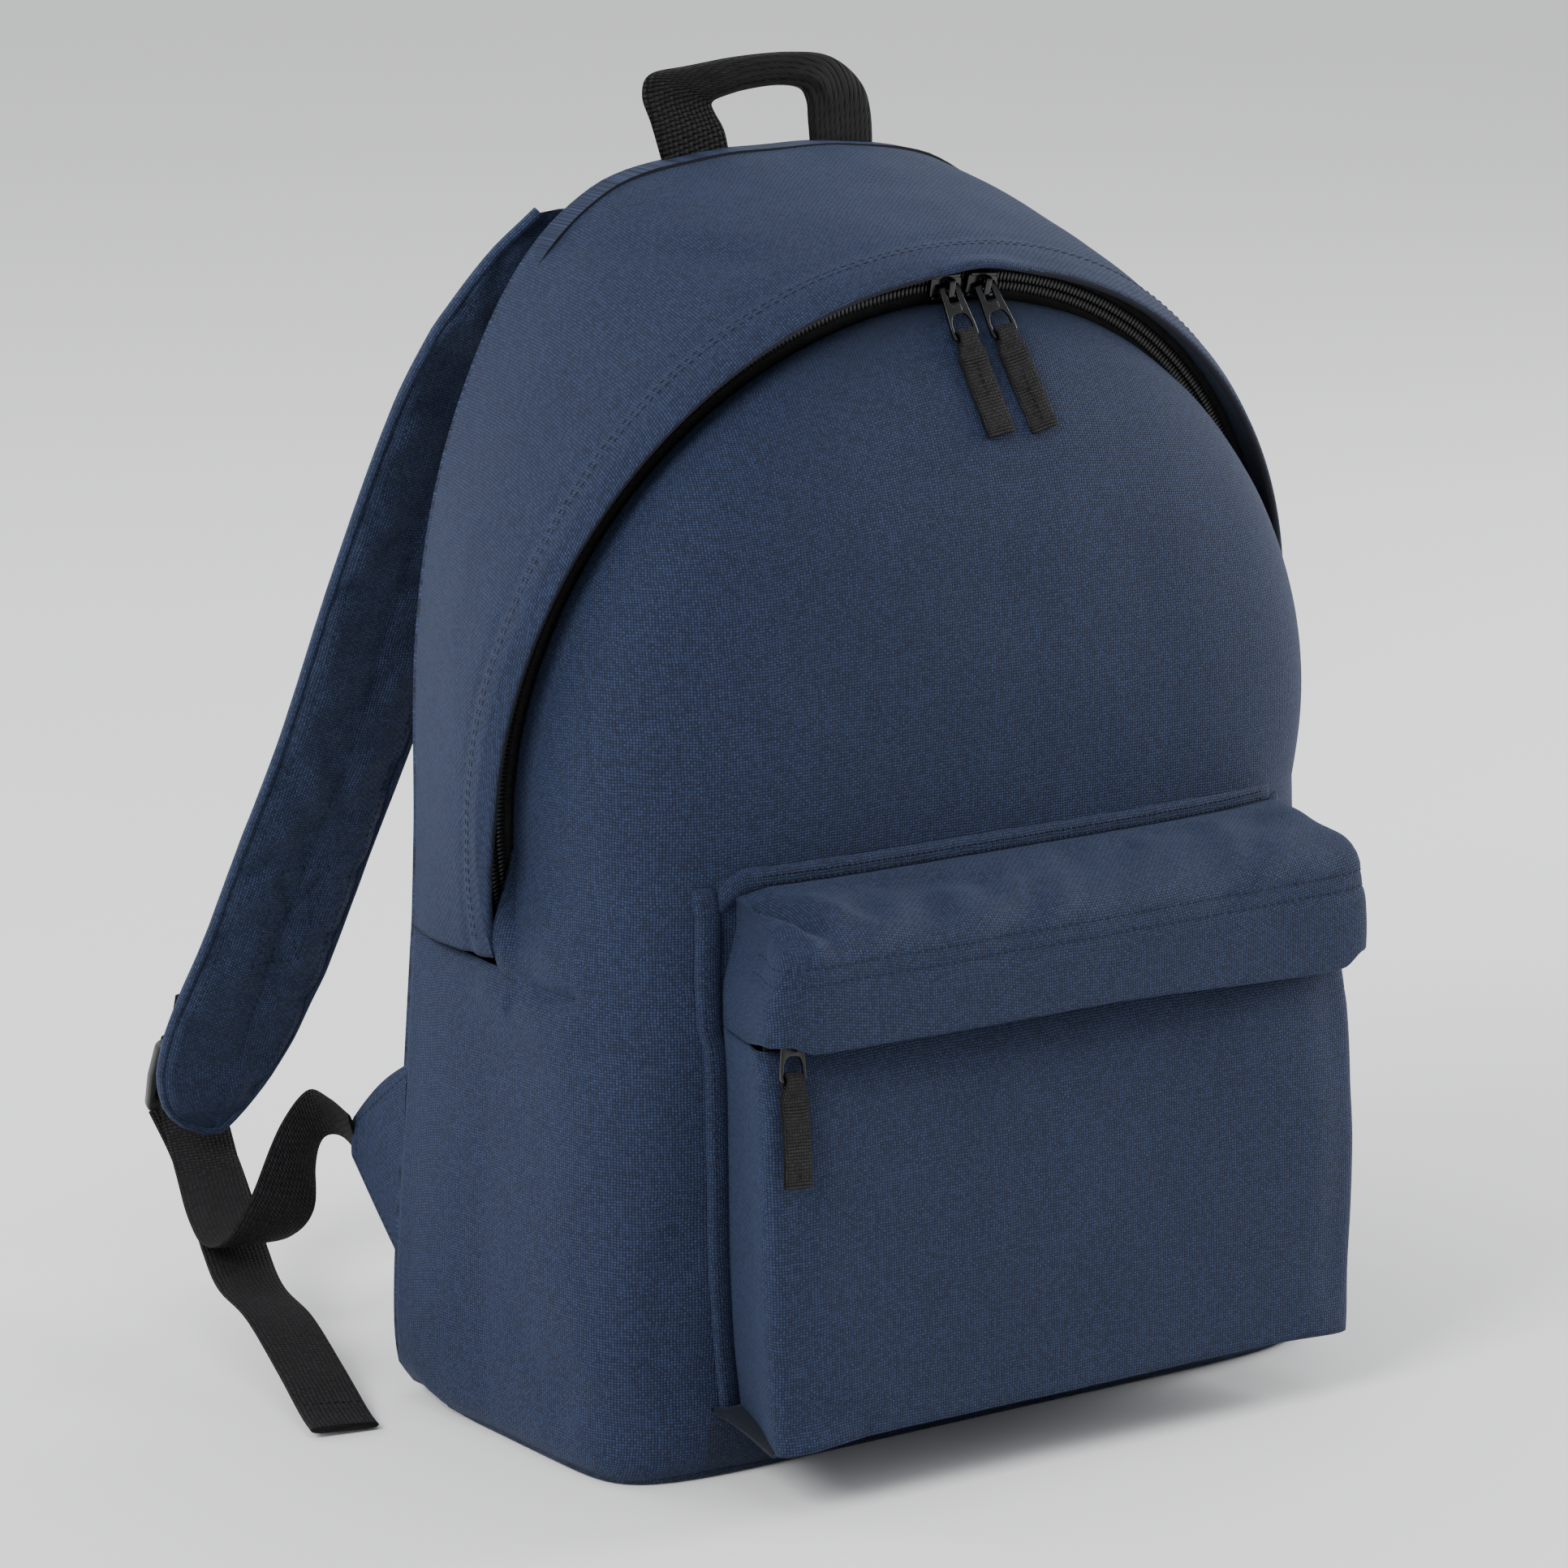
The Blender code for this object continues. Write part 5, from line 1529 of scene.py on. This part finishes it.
def strap_shape(sign, count):
    """The strap's centre line with its two directions and its two half widths."""
    line, across, normals = strap_frames(sign, count)
    step = np.linalg.norm(line[-1] - line[-2])
    extra = int(round((STRAP_TIP + 0.003) / step))
    ahead = unit(line[-1] - line[-2])
    line = np.vstack([line, [line[-1] + ahead * step * k for k in range(1, extra + 1)]])
    across = np.vstack([across, [across[-1]] * extra])
    normals = np.vstack([normals, [normals[-1]] * extra])
    along = np.append(0, np.cumsum(np.linalg.norm(np.diff(line, axis=0), axis=1))) * 1000
    along *= OUTER_EDGE[0][-1] / along[-1]
    outer, inner = (eased(along, *edge) / 1000 for edge in (OUTER_EDGE, INNER_EDGE))
    return line, across, normals, outer, inner


def build_strap(name, sign):
    """A padded strap with bound edges, swelled by simulation between its seams."""
    face = 17
    line, across, normals, outer, inner = strap_shape(sign, 82)
    total = len(line)
    shares = np.linspace(-1, 1, face)
    plump = smooth_step((np.minimum(outer, inner) - 0.002) / 0.014) * 0.8 + 0.2
    crown = 0.0012 + (0.62 * STRAP_HALF_THICK - 0.0012) * (1 - np.abs(shares) ** 4)
    reach = np.where(shares[None, :] > 0, outer[:, None], inner[:, None]) * shares
    top = line[:, None] + across[:, None] * reach[..., None]
    lift = (crown[None, :] * plump[:, None])[..., None] * normals[:, None]
    loop = np.concatenate([top + lift, (top - lift)[:, ::-1]], axis=1)
    mesh = tube_mesh(f"{name}_strap_padding", loop)
    made = link(f"{name}_strap_padding", mesh, ["strap_cloth"])
    around = 2 * face
    column = np.arange(total * around) % around
    row = np.arange(total * around) // around
    edge = np.isin(column, (0, face - 1, face, around - 1))
    centre = np.isin(column, (face // 2, face + face // 2))
    pinned = edge | (row < 2) | (row >= total - 2) | (centre & (row % 2 == 0))
    inflated(made, pinned, cap=0.0042, pressure=4.0, grow=0.035)
    points = np.array([v.co for v in made.data.vertices]).reshape(total, around, 3)
    seam = 0.0007 * np.exp(-((shares / 0.055) ** 2))
    points[:, :face] -= (seam[None, :, None]) * normals[:, None]
    points[:, face:] += (seam[::-1][None, :, None]) * normals[:, None]
    both = np.concatenate([normals[:, None].repeat(face, 1), -normals[:, None].repeat(face, 1)],
                          axis=1)
    near_top = smooth_step((points[..., 2] - 0.30) / 0.08)
    folds = 0.0018 * unevenness(points, 0.015, 31 + sign, (0.30, 0.9, 1.1)) * near_top
    folds += 0.0006 * unevenness(points, 0.03, 41, (1, 1, 0.6))
    points += both * folds[..., None]
    made.data.vertices.foreach_set("co", points.astype(np.float32).ravel())
    subdivided(made)
    made.data.shade_smooth()
    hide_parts(*(f"{name}_strap_{layer}" for layer in ("inner_face", "foam", "outer_face")))
    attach(made, f"{name}_strap")
    build_strap_edges(name, sign, line, across, normals, outer, inner, made)
    build_strap_root(name, sign)


def build_strap_edges(name, sign, line, across, normals, outer, inner, padding):
    """The rolled binding round the strap's edge and its rows of stitches."""
    left = line + across * outer[:, None]
    right = line - across * inner[:, None]
    rim = np.vstack([left, right[::-1]])
    mean = np.vstack([normals, normals[::-1]])
    count = len(rim)
    tangent = unit(np.gradient(rim, axis=0))
    side = unit(np.cross(mean, tangent))
    side *= np.sign(np.sum(side * (rim - line.mean(axis=0)), axis=1))[:, None]
    around = np.linspace(0, 2 * math.pi, 12, endpoint=False)
    rings = []
    for k in range(count):
        twist = 1 + 0.07 * noise.noise(Vector((k * 0.35, sign * 2.0, 0)))
        rings.append([
            rim[k] - side[k] * 0.0004 + side[k] * 0.0017 * twist * math.cos(a)
            + mean[k] * 0.0022 * twist * math.sin(a)
            for a in around
        ])
    mesh = tube_mesh(f"{name}_strap_binding", rings)
    binding = link(f"{name}_strap_binding", mesh, ["strap_cloth"])
    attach(binding, f"{name}_strap")
    tree = surface_tree(padding)
    runs = []
    for facing in (-1, 1):
        for share, half in ((-1, inner), (1, outer)):
            row = line[5:-6] + across[5:-6] * (half[5:-6, None] - 0.0045) * share
            spots, _ = onto(tree, row + normals[5:-6] * facing * 0.004)
            runs.append((spots, normals[5:-6] * facing))
        row = line[3:-7] + normals[3:-7] * facing * 0.004
        spots, _ = onto(tree, row)
        runs.append((spots, normals[3:-7] * facing))
        runs += cross_box(tree, line, across, normals, facing)
    stitched(f"{name}_strap_stitching", runs, f"{name}_strap", length=0.0022, gap=0.0008)


def cross_box(tree, line, across, normals, facing):
    """A square of stitches with its diagonals, a little above the strap's tip."""
    rows = line[-26:-16]
    top, low = rows[0], rows[-1]
    side = across[-20] * 0.0088
    corners = [top - side, top + side, low + side, low - side]
    legs = [(0, 1), (1, 2), (2, 3), (3, 0), (0, 2), (1, 3)]
    runs = []
    for a, b in legs:
        path = np.array([corners[a] + t * (corners[b] - corners[a]) for t in np.linspace(0, 1, 9)])
        spots, _ = onto(tree, path + normals[-20] * facing * 0.006)
        runs.append((spots, np.tile(normals[-20] * facing, (9, 1))))
    return runs


def build_strap_root(name, sign):
    """The cloth that carries the strap out of the back panel's top seam."""
    line, across, _ = strap_frames(sign, 40)
    start = line[0]
    top = np.array((0.0, BACK_FACE_Y - start[1], 0.0))
    root = start + np.array([
        top + (0, -0.0004, 0.0050), top + (0, 0.0016, 0.0030), (0, -0.0022, -0.0010),
        line[1] - start, line[3] - start,
    ])
    inward = np.linspace(0.0270, 0.0145, 5)[:, None]
    track = smooth_path(root - across[0] * inward, 26)
    side = np.tile(across[0], (26, 1))
    made = ribbon(f"{name}_strap_root", track, side, np.linspace(0.0125, 0.0145, 26),
                  np.linspace(0.0012, 0.0036, 26), ["strap_cloth"], 15)
    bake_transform(made)


def buckle_matrix(sign):
    up = Vector((-sign * 0.14, -0.40, 0.90))
    return axes_matrix((sign * 0.1475, 0.2130, 0.0930), (sign * 0.99, 0.14, 0.0), up)


def build_buckle(name, sign):
    """The ladderlock with its two slots and two ledges, its keeper and the webbing's turn."""
    matrix = buckle_matrix(sign)
    outline = rounded_loop(
        [(0.0155, 0.0022), (-0.0155, 0.0022), (-0.0168, -0.0130), (-0.0160, -0.0290),
         (0.0160, -0.0290), (0.0168, -0.0130)],
        [0.0035, 0.0035, 0.02, 0.0045, 0.0045, 0.02], 8)
    slots = [
        rounded_loop(rectangle(-0.0134, 0.0134, -0.0095, -0.0020), 0.0014, 6),
        rounded_loop(rectangle(-0.0134, 0.0134, -0.0235, -0.0135), 0.0014, 6),
    ]
    body = plate("lock_body", [outline, *slots], 0.0036, matrix, 0.0009, ["plastic"])
    parts = [body]
    facing = 1 if (matrix.to_3x3() @ Vector((0, 0, 1))).y > 0 else -1
    for y, high in ((-0.0262, 0.0012), (-0.0115, 0.0006)):
        loop = rounded_loop(rectangle(-0.0128, 0.0128, y - 0.0011, y + 0.0011), 0.0008, 4)
        raised = matrix @ Matrix.Translation((0, 0, facing * (0.0014 + high / 2)))
        parts.append(plate("lock_ledge", [loop], high + 0.0008, raised, 0.0004, ["plastic"]))
    made = joined(f"{name}_ladderlock_plastic", parts)
    stand_in(made, f"{name}_buckle", f"{name}_ladderlock")

    toward = -1 if (matrix.to_3x3() @ Vector((0, 0, 1))).y > 0 else 1
    ring = 0.0038
    profile = [
        (ring * math.cos(turn) * toward, ring * math.sin(turn))
        for turn in np.linspace(math.radians(-215), math.radians(35), 26)
    ]
    profile += [(toward * 0.0029, 0.0120), (toward * 0.0026, 0.0180), (toward * 0.0026, 0.0245)]
    track = smooth_path([(0.0, y, z) for z, y in profile], 70)
    loop_line = apply_matrix(matrix, track)
    side = np.tile(np.array(matrix)[:3, 0], (len(loop_line), 1))
    keeper = ribbon(f"{name}_keeper_webbing", loop_line, side, WEBBING_WIDTH / 2, LOOP_HALF_THICK,
                    ["black_webbing"], 13)
    stand_in(keeper, f"{name}_strap", f"{name}_buckle_keeper")

    reach, top, low = 0.0029, -0.0100, -0.0295
    arc = np.linspace(0, math.pi, 20)
    bend = [(0.0, low, reach), (0.0, (low + top) / 2, reach)]
    bend += [(0.0, top + reach * math.sin(turn), reach * math.cos(turn)) for turn in arc]
    bend += [(0.0, (low + top) / 2, -reach), (0.0, low, -reach)]
    turn_line = apply_matrix(matrix, smooth_path(bend, 64))
    side = np.tile(np.array(matrix)[:3, 0], (len(turn_line), 1))
    turned = ribbon(f"{name}_turn_webbing", turn_line, side, WEBBING_WIDTH / 2 - 0.0001,
                    LOOP_HALF_THICK, ["black_webbing"], 13)
    stand_in(turned, f"{name}_buckle", f"{name}_webbing_turn")


def webbing_piece(name, node, path, thick):
    """One length of hanging webbing: path is its line and its directions."""
    line, across = path
    made = ribbon(name, line, across, WEBBING_WIDTH / 2, thick, ["black_webbing"], 13)
    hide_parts(node)
    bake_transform(made)
    return made


def build_webbing(name, sign):
    """The adjusting webbing with its twist, and its tail, thicker where its end is folded."""
    track = smooth_path(np.hstack([ADJUSTER_PATH, ADJUSTER_WIDTHS]), 110)
    line = mirrored(track[:, :3], sign)
    across = mirrored(track[:, 3:], sign)
    split = int(np.argmax(line[:, 1] > WEBBING_SPLIT_Y))
    webbing_piece(
        f"{name}_adjuster_webbing", f"{name}_adjuster", (line[:split + 1], across[:split + 1]),
        WEBBING_HALF_THICK)
    webbing_piece(
        f"{name}_adjuster_end_webbing", f"{name}_adjuster", (line[split:], across[split:]),
        WEBBING_HALF_THICK)
    track = smooth_path(TAIL_PATH, 120)
    line = mirrored(track, sign)
    across = np.tile(unit(np.array((sign * 0.985, 0.17, 0.0))), (len(line), 1))
    across[:, 2] += 0.10 * np.sin(np.linspace(0, 2.6, len(line)))
    thick = np.where(np.arange(len(line)) > 108, 2 * WEBBING_HALF_THICK, WEBBING_HALF_THICK)
    thick = np.convolve(np.pad(thick, 2, mode="edge"), np.ones(5) / 5, mode="valid")
    split = int(np.argmax(line[:, 1] < WEBBING_SPLIT_Y))
    webbing_piece(
        f"{name}_tail_root_webbing", f"{name}_webbing_tail", (line[:split + 1], across[:split + 1]),
        thick[:split + 1])
    tail = webbing_piece(
        f"{name}_tail_webbing", f"{name}_webbing_tail", (line[split:], across[split:]),
        thick[split:])
    tree = surface_tree(tail)
    middle = line[109]
    side = unit(across[109])
    seam = [middle + side * WEBBING_WIDTH / 2 * share for share in np.linspace(-0.9, 0.9, 15)]
    up = unit(np.cross(np.gradient(line, axis=0)[109], side))
    up = up if up[2] > 0 else -up
    spots, _ = onto(tree, [p + up * 0.003 for p in seam])
    stitched(f"{name}_tail_stitching", [(spots, np.tile(up, (15, 1)))], "bag", "black_thread",
             0.002, 0.0007)


def build_anchor_tab(name, sign):
    """The doubled triangle of cloth in the side seam, topstitched along its edges."""
    top = np.array((0.1476, SEAM_Y - 0.0010, 0.1180))
    bottom = np.array((0.1508, SEAM_Y - 0.0010, 0.0450))
    tip_high = np.array((0.1472, 0.1050, 0.0905))
    tip_low = np.array((0.1472, 0.1060, 0.0750))
    rings = []
    for out in np.linspace(0, 1, 22):
        bulge = np.array((0, 0.6, 0.8)) * 0.0022 * math.sin(math.pi * out)
        high = top + out * (tip_high - top) + bulge
        low = bottom + out * (tip_low - bottom)
        middle, half = (high + low) / 2, (high - low) / 2
        section = strip_section(1.0, 0.0013 + 0.0004 * math.sin(math.pi * out), 17)
        rings.append([middle + half * a + np.array((1.0, 0, 0)) * b for a, b in section])
    rings = mirrored(np.array(rings).reshape(-1, 3), sign).reshape(22, -1, 3)
    made = link(f"{name}_tab_cloth", tube_mesh(f"{name}_tab_cloth", rings), ["cloth"])
    stand_in(made, "bag", f"{name}_anchor_tab")
    tree = surface_tree(made)
    runs = []
    for facing in (-1, 1):
        for a, b, inset in ((top, tip_high, -0.0035), (bottom, tip_low, 0.0035)):
            path = np.array([a + t * (b - a) + (facing * 0.003, 0, inset)
                             for t in np.linspace(0.02, 0.96, 20)])
            spots, _ = onto(tree, mirrored(path, sign))
            runs.append((spots, np.tile((sign * facing, 0, 0), (20, 1))))
        path = np.array([
            tip_high + t * (tip_low - tip_high) + (facing * 0.003, -0.004, 0)
            for t in np.linspace(0.05, 0.95, 9)
        ])
        spots, _ = onto(tree, mirrored(path, sign))
        runs.append((spots, np.tile((sign * facing, 0, 0), (9, 1))))
    stitched(f"{name}_tab_stitching", runs, "bag", length=0.0022, gap=0.0009)


# ---- back panel and base ------------------------------------------------------------------
def back_outline(steps, bottom):
    arch = arch_outline(steps)
    side_z = np.linspace(bottom, 0.160, 22)
    side = [(float(eased(z, *SIDE_SEAM)), z) for z in side_z]
    loop = [(-x, z) for x, z in side] + [tuple(p) for p in arch] + side[::-1]
    floor = [(x, bottom) for x in np.linspace(0.1515, -0.1515, 44)[1:-1]]
    loop = np.array(loop + floor)
    full = np.stack([loop[:, 0], np.full(len(loop), SEAM_Y), loop[:, 1]], axis=1)
    return rounded_foot(full)[:, [0, 2]]


def build_back_panel():
    """The padded back panel, swelled between its edge seam and two quilting lines."""
    loop = back_outline(110, 0.0036)
    outline = np.stack([loop[:, 0], np.zeros(len(loop)), loop[:, 1]], axis=1)
    outline = np.vstack([outline, outline[:1]])
    outline = evenly(outline, 261)[:-1]
    centre = np.array((0.0, 0.0, 0.205))
    shares = 1 - np.linspace(0, 1, 30) ** 1.1
    rings = []
    edge_y, face_y = SEAM_Y + 0.0018, BACK_FACE_Y
    for share in shares[:-1]:
        ring = centre + share * (outline - centre)
        inset = np.linalg.norm(outline - ring, axis=1)
        ring[:, 1] = edge_y + (face_y - edge_y) * np.sqrt(np.clip(inset / 0.004, 0, 1))
        rings.append(ring)
    grid = np.array(rings)
    wrapped = np.concatenate([grid, grid[:, :1]], axis=1)
    uv = np.stack([wrapped[..., 0], wrapped[..., 2]], axis=2)
    mesh = grids_mesh("back_padding", [(wrapped, uv)], (0, 0, 0.2))
    made = link("back_padding", mesh, ["cloth"])
    shape = bmesh.new()
    shape.from_mesh(made.data)
    inner = [e for e in shape.edges if e.is_boundary and e.verts[0].co.y > face_y - 1e-4
             and abs(e.verts[0].co.x) < 0.02]
    bmesh.ops.holes_fill(shape, edges=inner, sides=0)
    outer = [e for e in shape.edges if e.is_boundary]
    made_geom = bmesh.ops.extrude_edge_only(shape, edges=outer)["geom"]
    low = [v for v in made_geom if isinstance(v, bmesh.types.BMVert)]
    for v in low:
        v.co.y = BACK_LINING_Y
    bmesh.ops.contextual_create(
        shape, geom=[e for e in made_geom if isinstance(e, bmesh.types.BMEdge)])
    bmesh.ops.recalc_face_normals(shape, faces=shape.faces[:])
    shape.to_mesh(made.data)
    shape.free()
    points = np.array([v.co for v in made.data.vertices])
    crown = (BACK_FACE_Y + 1e-5 - points[:, 1] < 0.0002).astype(float)
    inset = np.zeros(len(points))
    away = points[:, [0, 2]]
    for x, z in outline[:, [0, 2]]:
        gap = np.hypot(away[:, 0] - x, away[:, 1] - z)
        inset = np.where((inset == 0) | (gap < inset), gap, inset)
    channel = np.exp(-(((np.abs(points[:, 0]) - 0.045) / 0.003) ** 2))
    puff = 0.0022 * smooth_step(inset / 0.03) - 0.0018 * channel * smooth_step((inset - 0.02) / 0.02)
    points[:, 1] += puff * crown
    made.data.vertices.foreach_set("co", points.astype(np.float32).ravel())
    made.data.update()
    pinned = (inset < 0.006) | (points[:, 1] < BACK_FACE_Y - 0.0003) | (channel > 0.75)
    inflated(made, pinned, cap=0.0030, pressure=2.0, grow=0.01)
    made.data.shade_smooth()
    made.data.set_sharp_from_angle(angle=math.radians(55))
    made.data.materials.append(MATERIALS["lining"])
    for face in made.data.polygons:
        face.material_index = int(face.center.y < BACK_LINING_Y + 0.0006)
    stand_in(made, "bag", "back_panel_skin", "back_panel_foam", "back_panel_lining")
    tree = surface_tree(made)
    runs = []
    loops = evenly(np.vstack([outline, outline[:1]]), 300)
    ring = centre + 0.965 * (loops - centre) + (0, BACK_FACE_Y + 0.004, 0)
    runs.append(onto(tree, ring, (0, 1, 0)))
    for x in (-0.045, 0.045):
        line = [(x, BACK_FACE_Y + 0.004, z) for z in np.linspace(0.03, 0.37, 120)]
        runs.append(onto(tree, line, (0, 1, 0)))
    stitched("back_stitching", runs, "bag")


def build_base():
    """The bag's base, with a rolled edge all round."""
    turns = np.linspace(-math.pi / 2, math.pi / 2, 91)
    x, forward = corner_curve(0.1480, SIDE_CENTRE_Y + 0.0650, 8.0, turns)
    front = np.stack([x, SIDE_CENTRE_Y - forward], axis=1)
    back = [(0.1480, 0.030), (0.1468, 0.048), (0.1420, 0.062), (0.1360, 0.0690)]
    loop = [tuple(p) for p in front] + back + [(-x, y) for x, y in back[::-1]]
    middle = Matrix.Translation((0, 0, BASE_THICK / 2))
    made = plate("base_cloth_panel", [loop], BASE_THICK, middle, 0.0015, ["base_and_shade_cloth"])
    weave_by_point(made.data, np.array([(v.co.x, v.co.y + v.co.z) for v in made.data.vertices]))
    stand_in(made, "bag", "base_panel")


# ---- carried-over parts of the frame ------------------------------------------------------
def dress_frame():
    """Materials for the frame's own pocket zip, which lies under the hood."""
    finishes = {
        "pocket_tape_lower": "zip_tape",
        "pocket_tape_upper": "zip_tape",
        "pocket_coil_lower": "coil",
        "pocket_coil_upper": "coil",
    }
    for node, finish in finishes.items():
        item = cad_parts[node]
        item.data.materials.clear()
        item.data.materials.append(MATERIALS[finish])


# ---- studio -------------------------------------------------------------------------------
def area_light(name, location, target, size, power):
    light = bpy.data.lights.new(name, "AREA")
    light.shape = "RECTANGLE"
    light.size, light.size_y = size
    light.energy = power
    made = bpy.data.objects.new(name, light)
    made.location = location
    aim = Vector(target) - Vector(location)
    made.rotation_euler = aim.to_track_quat("-Z", "Y").to_euler()
    bpy.context.scene.collection.objects.link(made)


def build_studio():
    mesh = bpy.data.meshes.new("floor")
    size = 6.0
    mesh.from_pydata([(-size, -size, -0.0003), (size, -size, -0.0003), (size, size, -0.0003),
                      (-size, size, -0.0003)], [], [(0, 1, 2, 3)])
    paper = Graph("paper", Roughness=0.9)
    place = paper.node("ShaderNodeTexCoord").outputs["Object"]
    paper.tinted((0.86, 0.86, 0.86), paper.spread(paper.noise(place, 3.0), 0.98, 1.02))
    mesh.materials.append(paper.material)
    floor = bpy.data.objects.new("floor", mesh)
    bpy.context.scene.collection.objects.link(floor)
    world = bpy.data.worlds.new("studio")
    world.use_nodes = True
    background = world.node_tree.nodes["Background"]
    background.inputs["Color"].default_value = (0.97, 0.98, 1.0, 1.0)
    background.inputs["Strength"].default_value = 0.90
    bpy.context.scene.world = world
    area_light("key", (-2.2, -0.7, 1.8), (0, 0, 0.22), (1.1, 1.1), 70.0)
    area_light("fill", (2.2, -0.3, 1.0), (0, 0, 0.2), (1.2, 1.2), 52.0)
    area_light("top", (0.0, 0.3, 2.2), (0, 0, 0.3), (1.6, 1.6), 7.0)
    area_light("back", (-1.0, 2.0, 1.2), (0, 0, 0.2), (1.4, 1.4), 16.0)


def build_camera():
    lens = bpy.data.cameras.new("camera")
    lens.sensor_width = 36.0
    lens.lens = 155.1
    lens.clip_end = 50.0
    made = bpy.data.objects.new("camera", lens)
    made.location = (-1.315, -1.822, 0.7315)
    aim = Vector((-0.0397, 0.0, 0.214)) - made.location
    made.rotation_euler = aim.to_track_quat("-Z", "Y").to_euler()
    bpy.context.scene.collection.objects.link(made)
    bpy.context.scene.camera = made


def build_backpack():
    build_camera()
    build_studio()
    front = build_front_cloth()
    blend_front(front)
    build_gusset()
    build_main_zip()
    build_pulls()
    build_pocket_shell()
    build_pocket_hood()
    build_flanges()
    build_handle()
    for name, sign in SIDES:
        build_strap(name, sign)
        build_buckle(name, sign)
        build_anchor_tab(name, sign)
        build_webbing(name, sign)
    build_back_panel()
    build_base()
    dress_frame()


build_backpack()
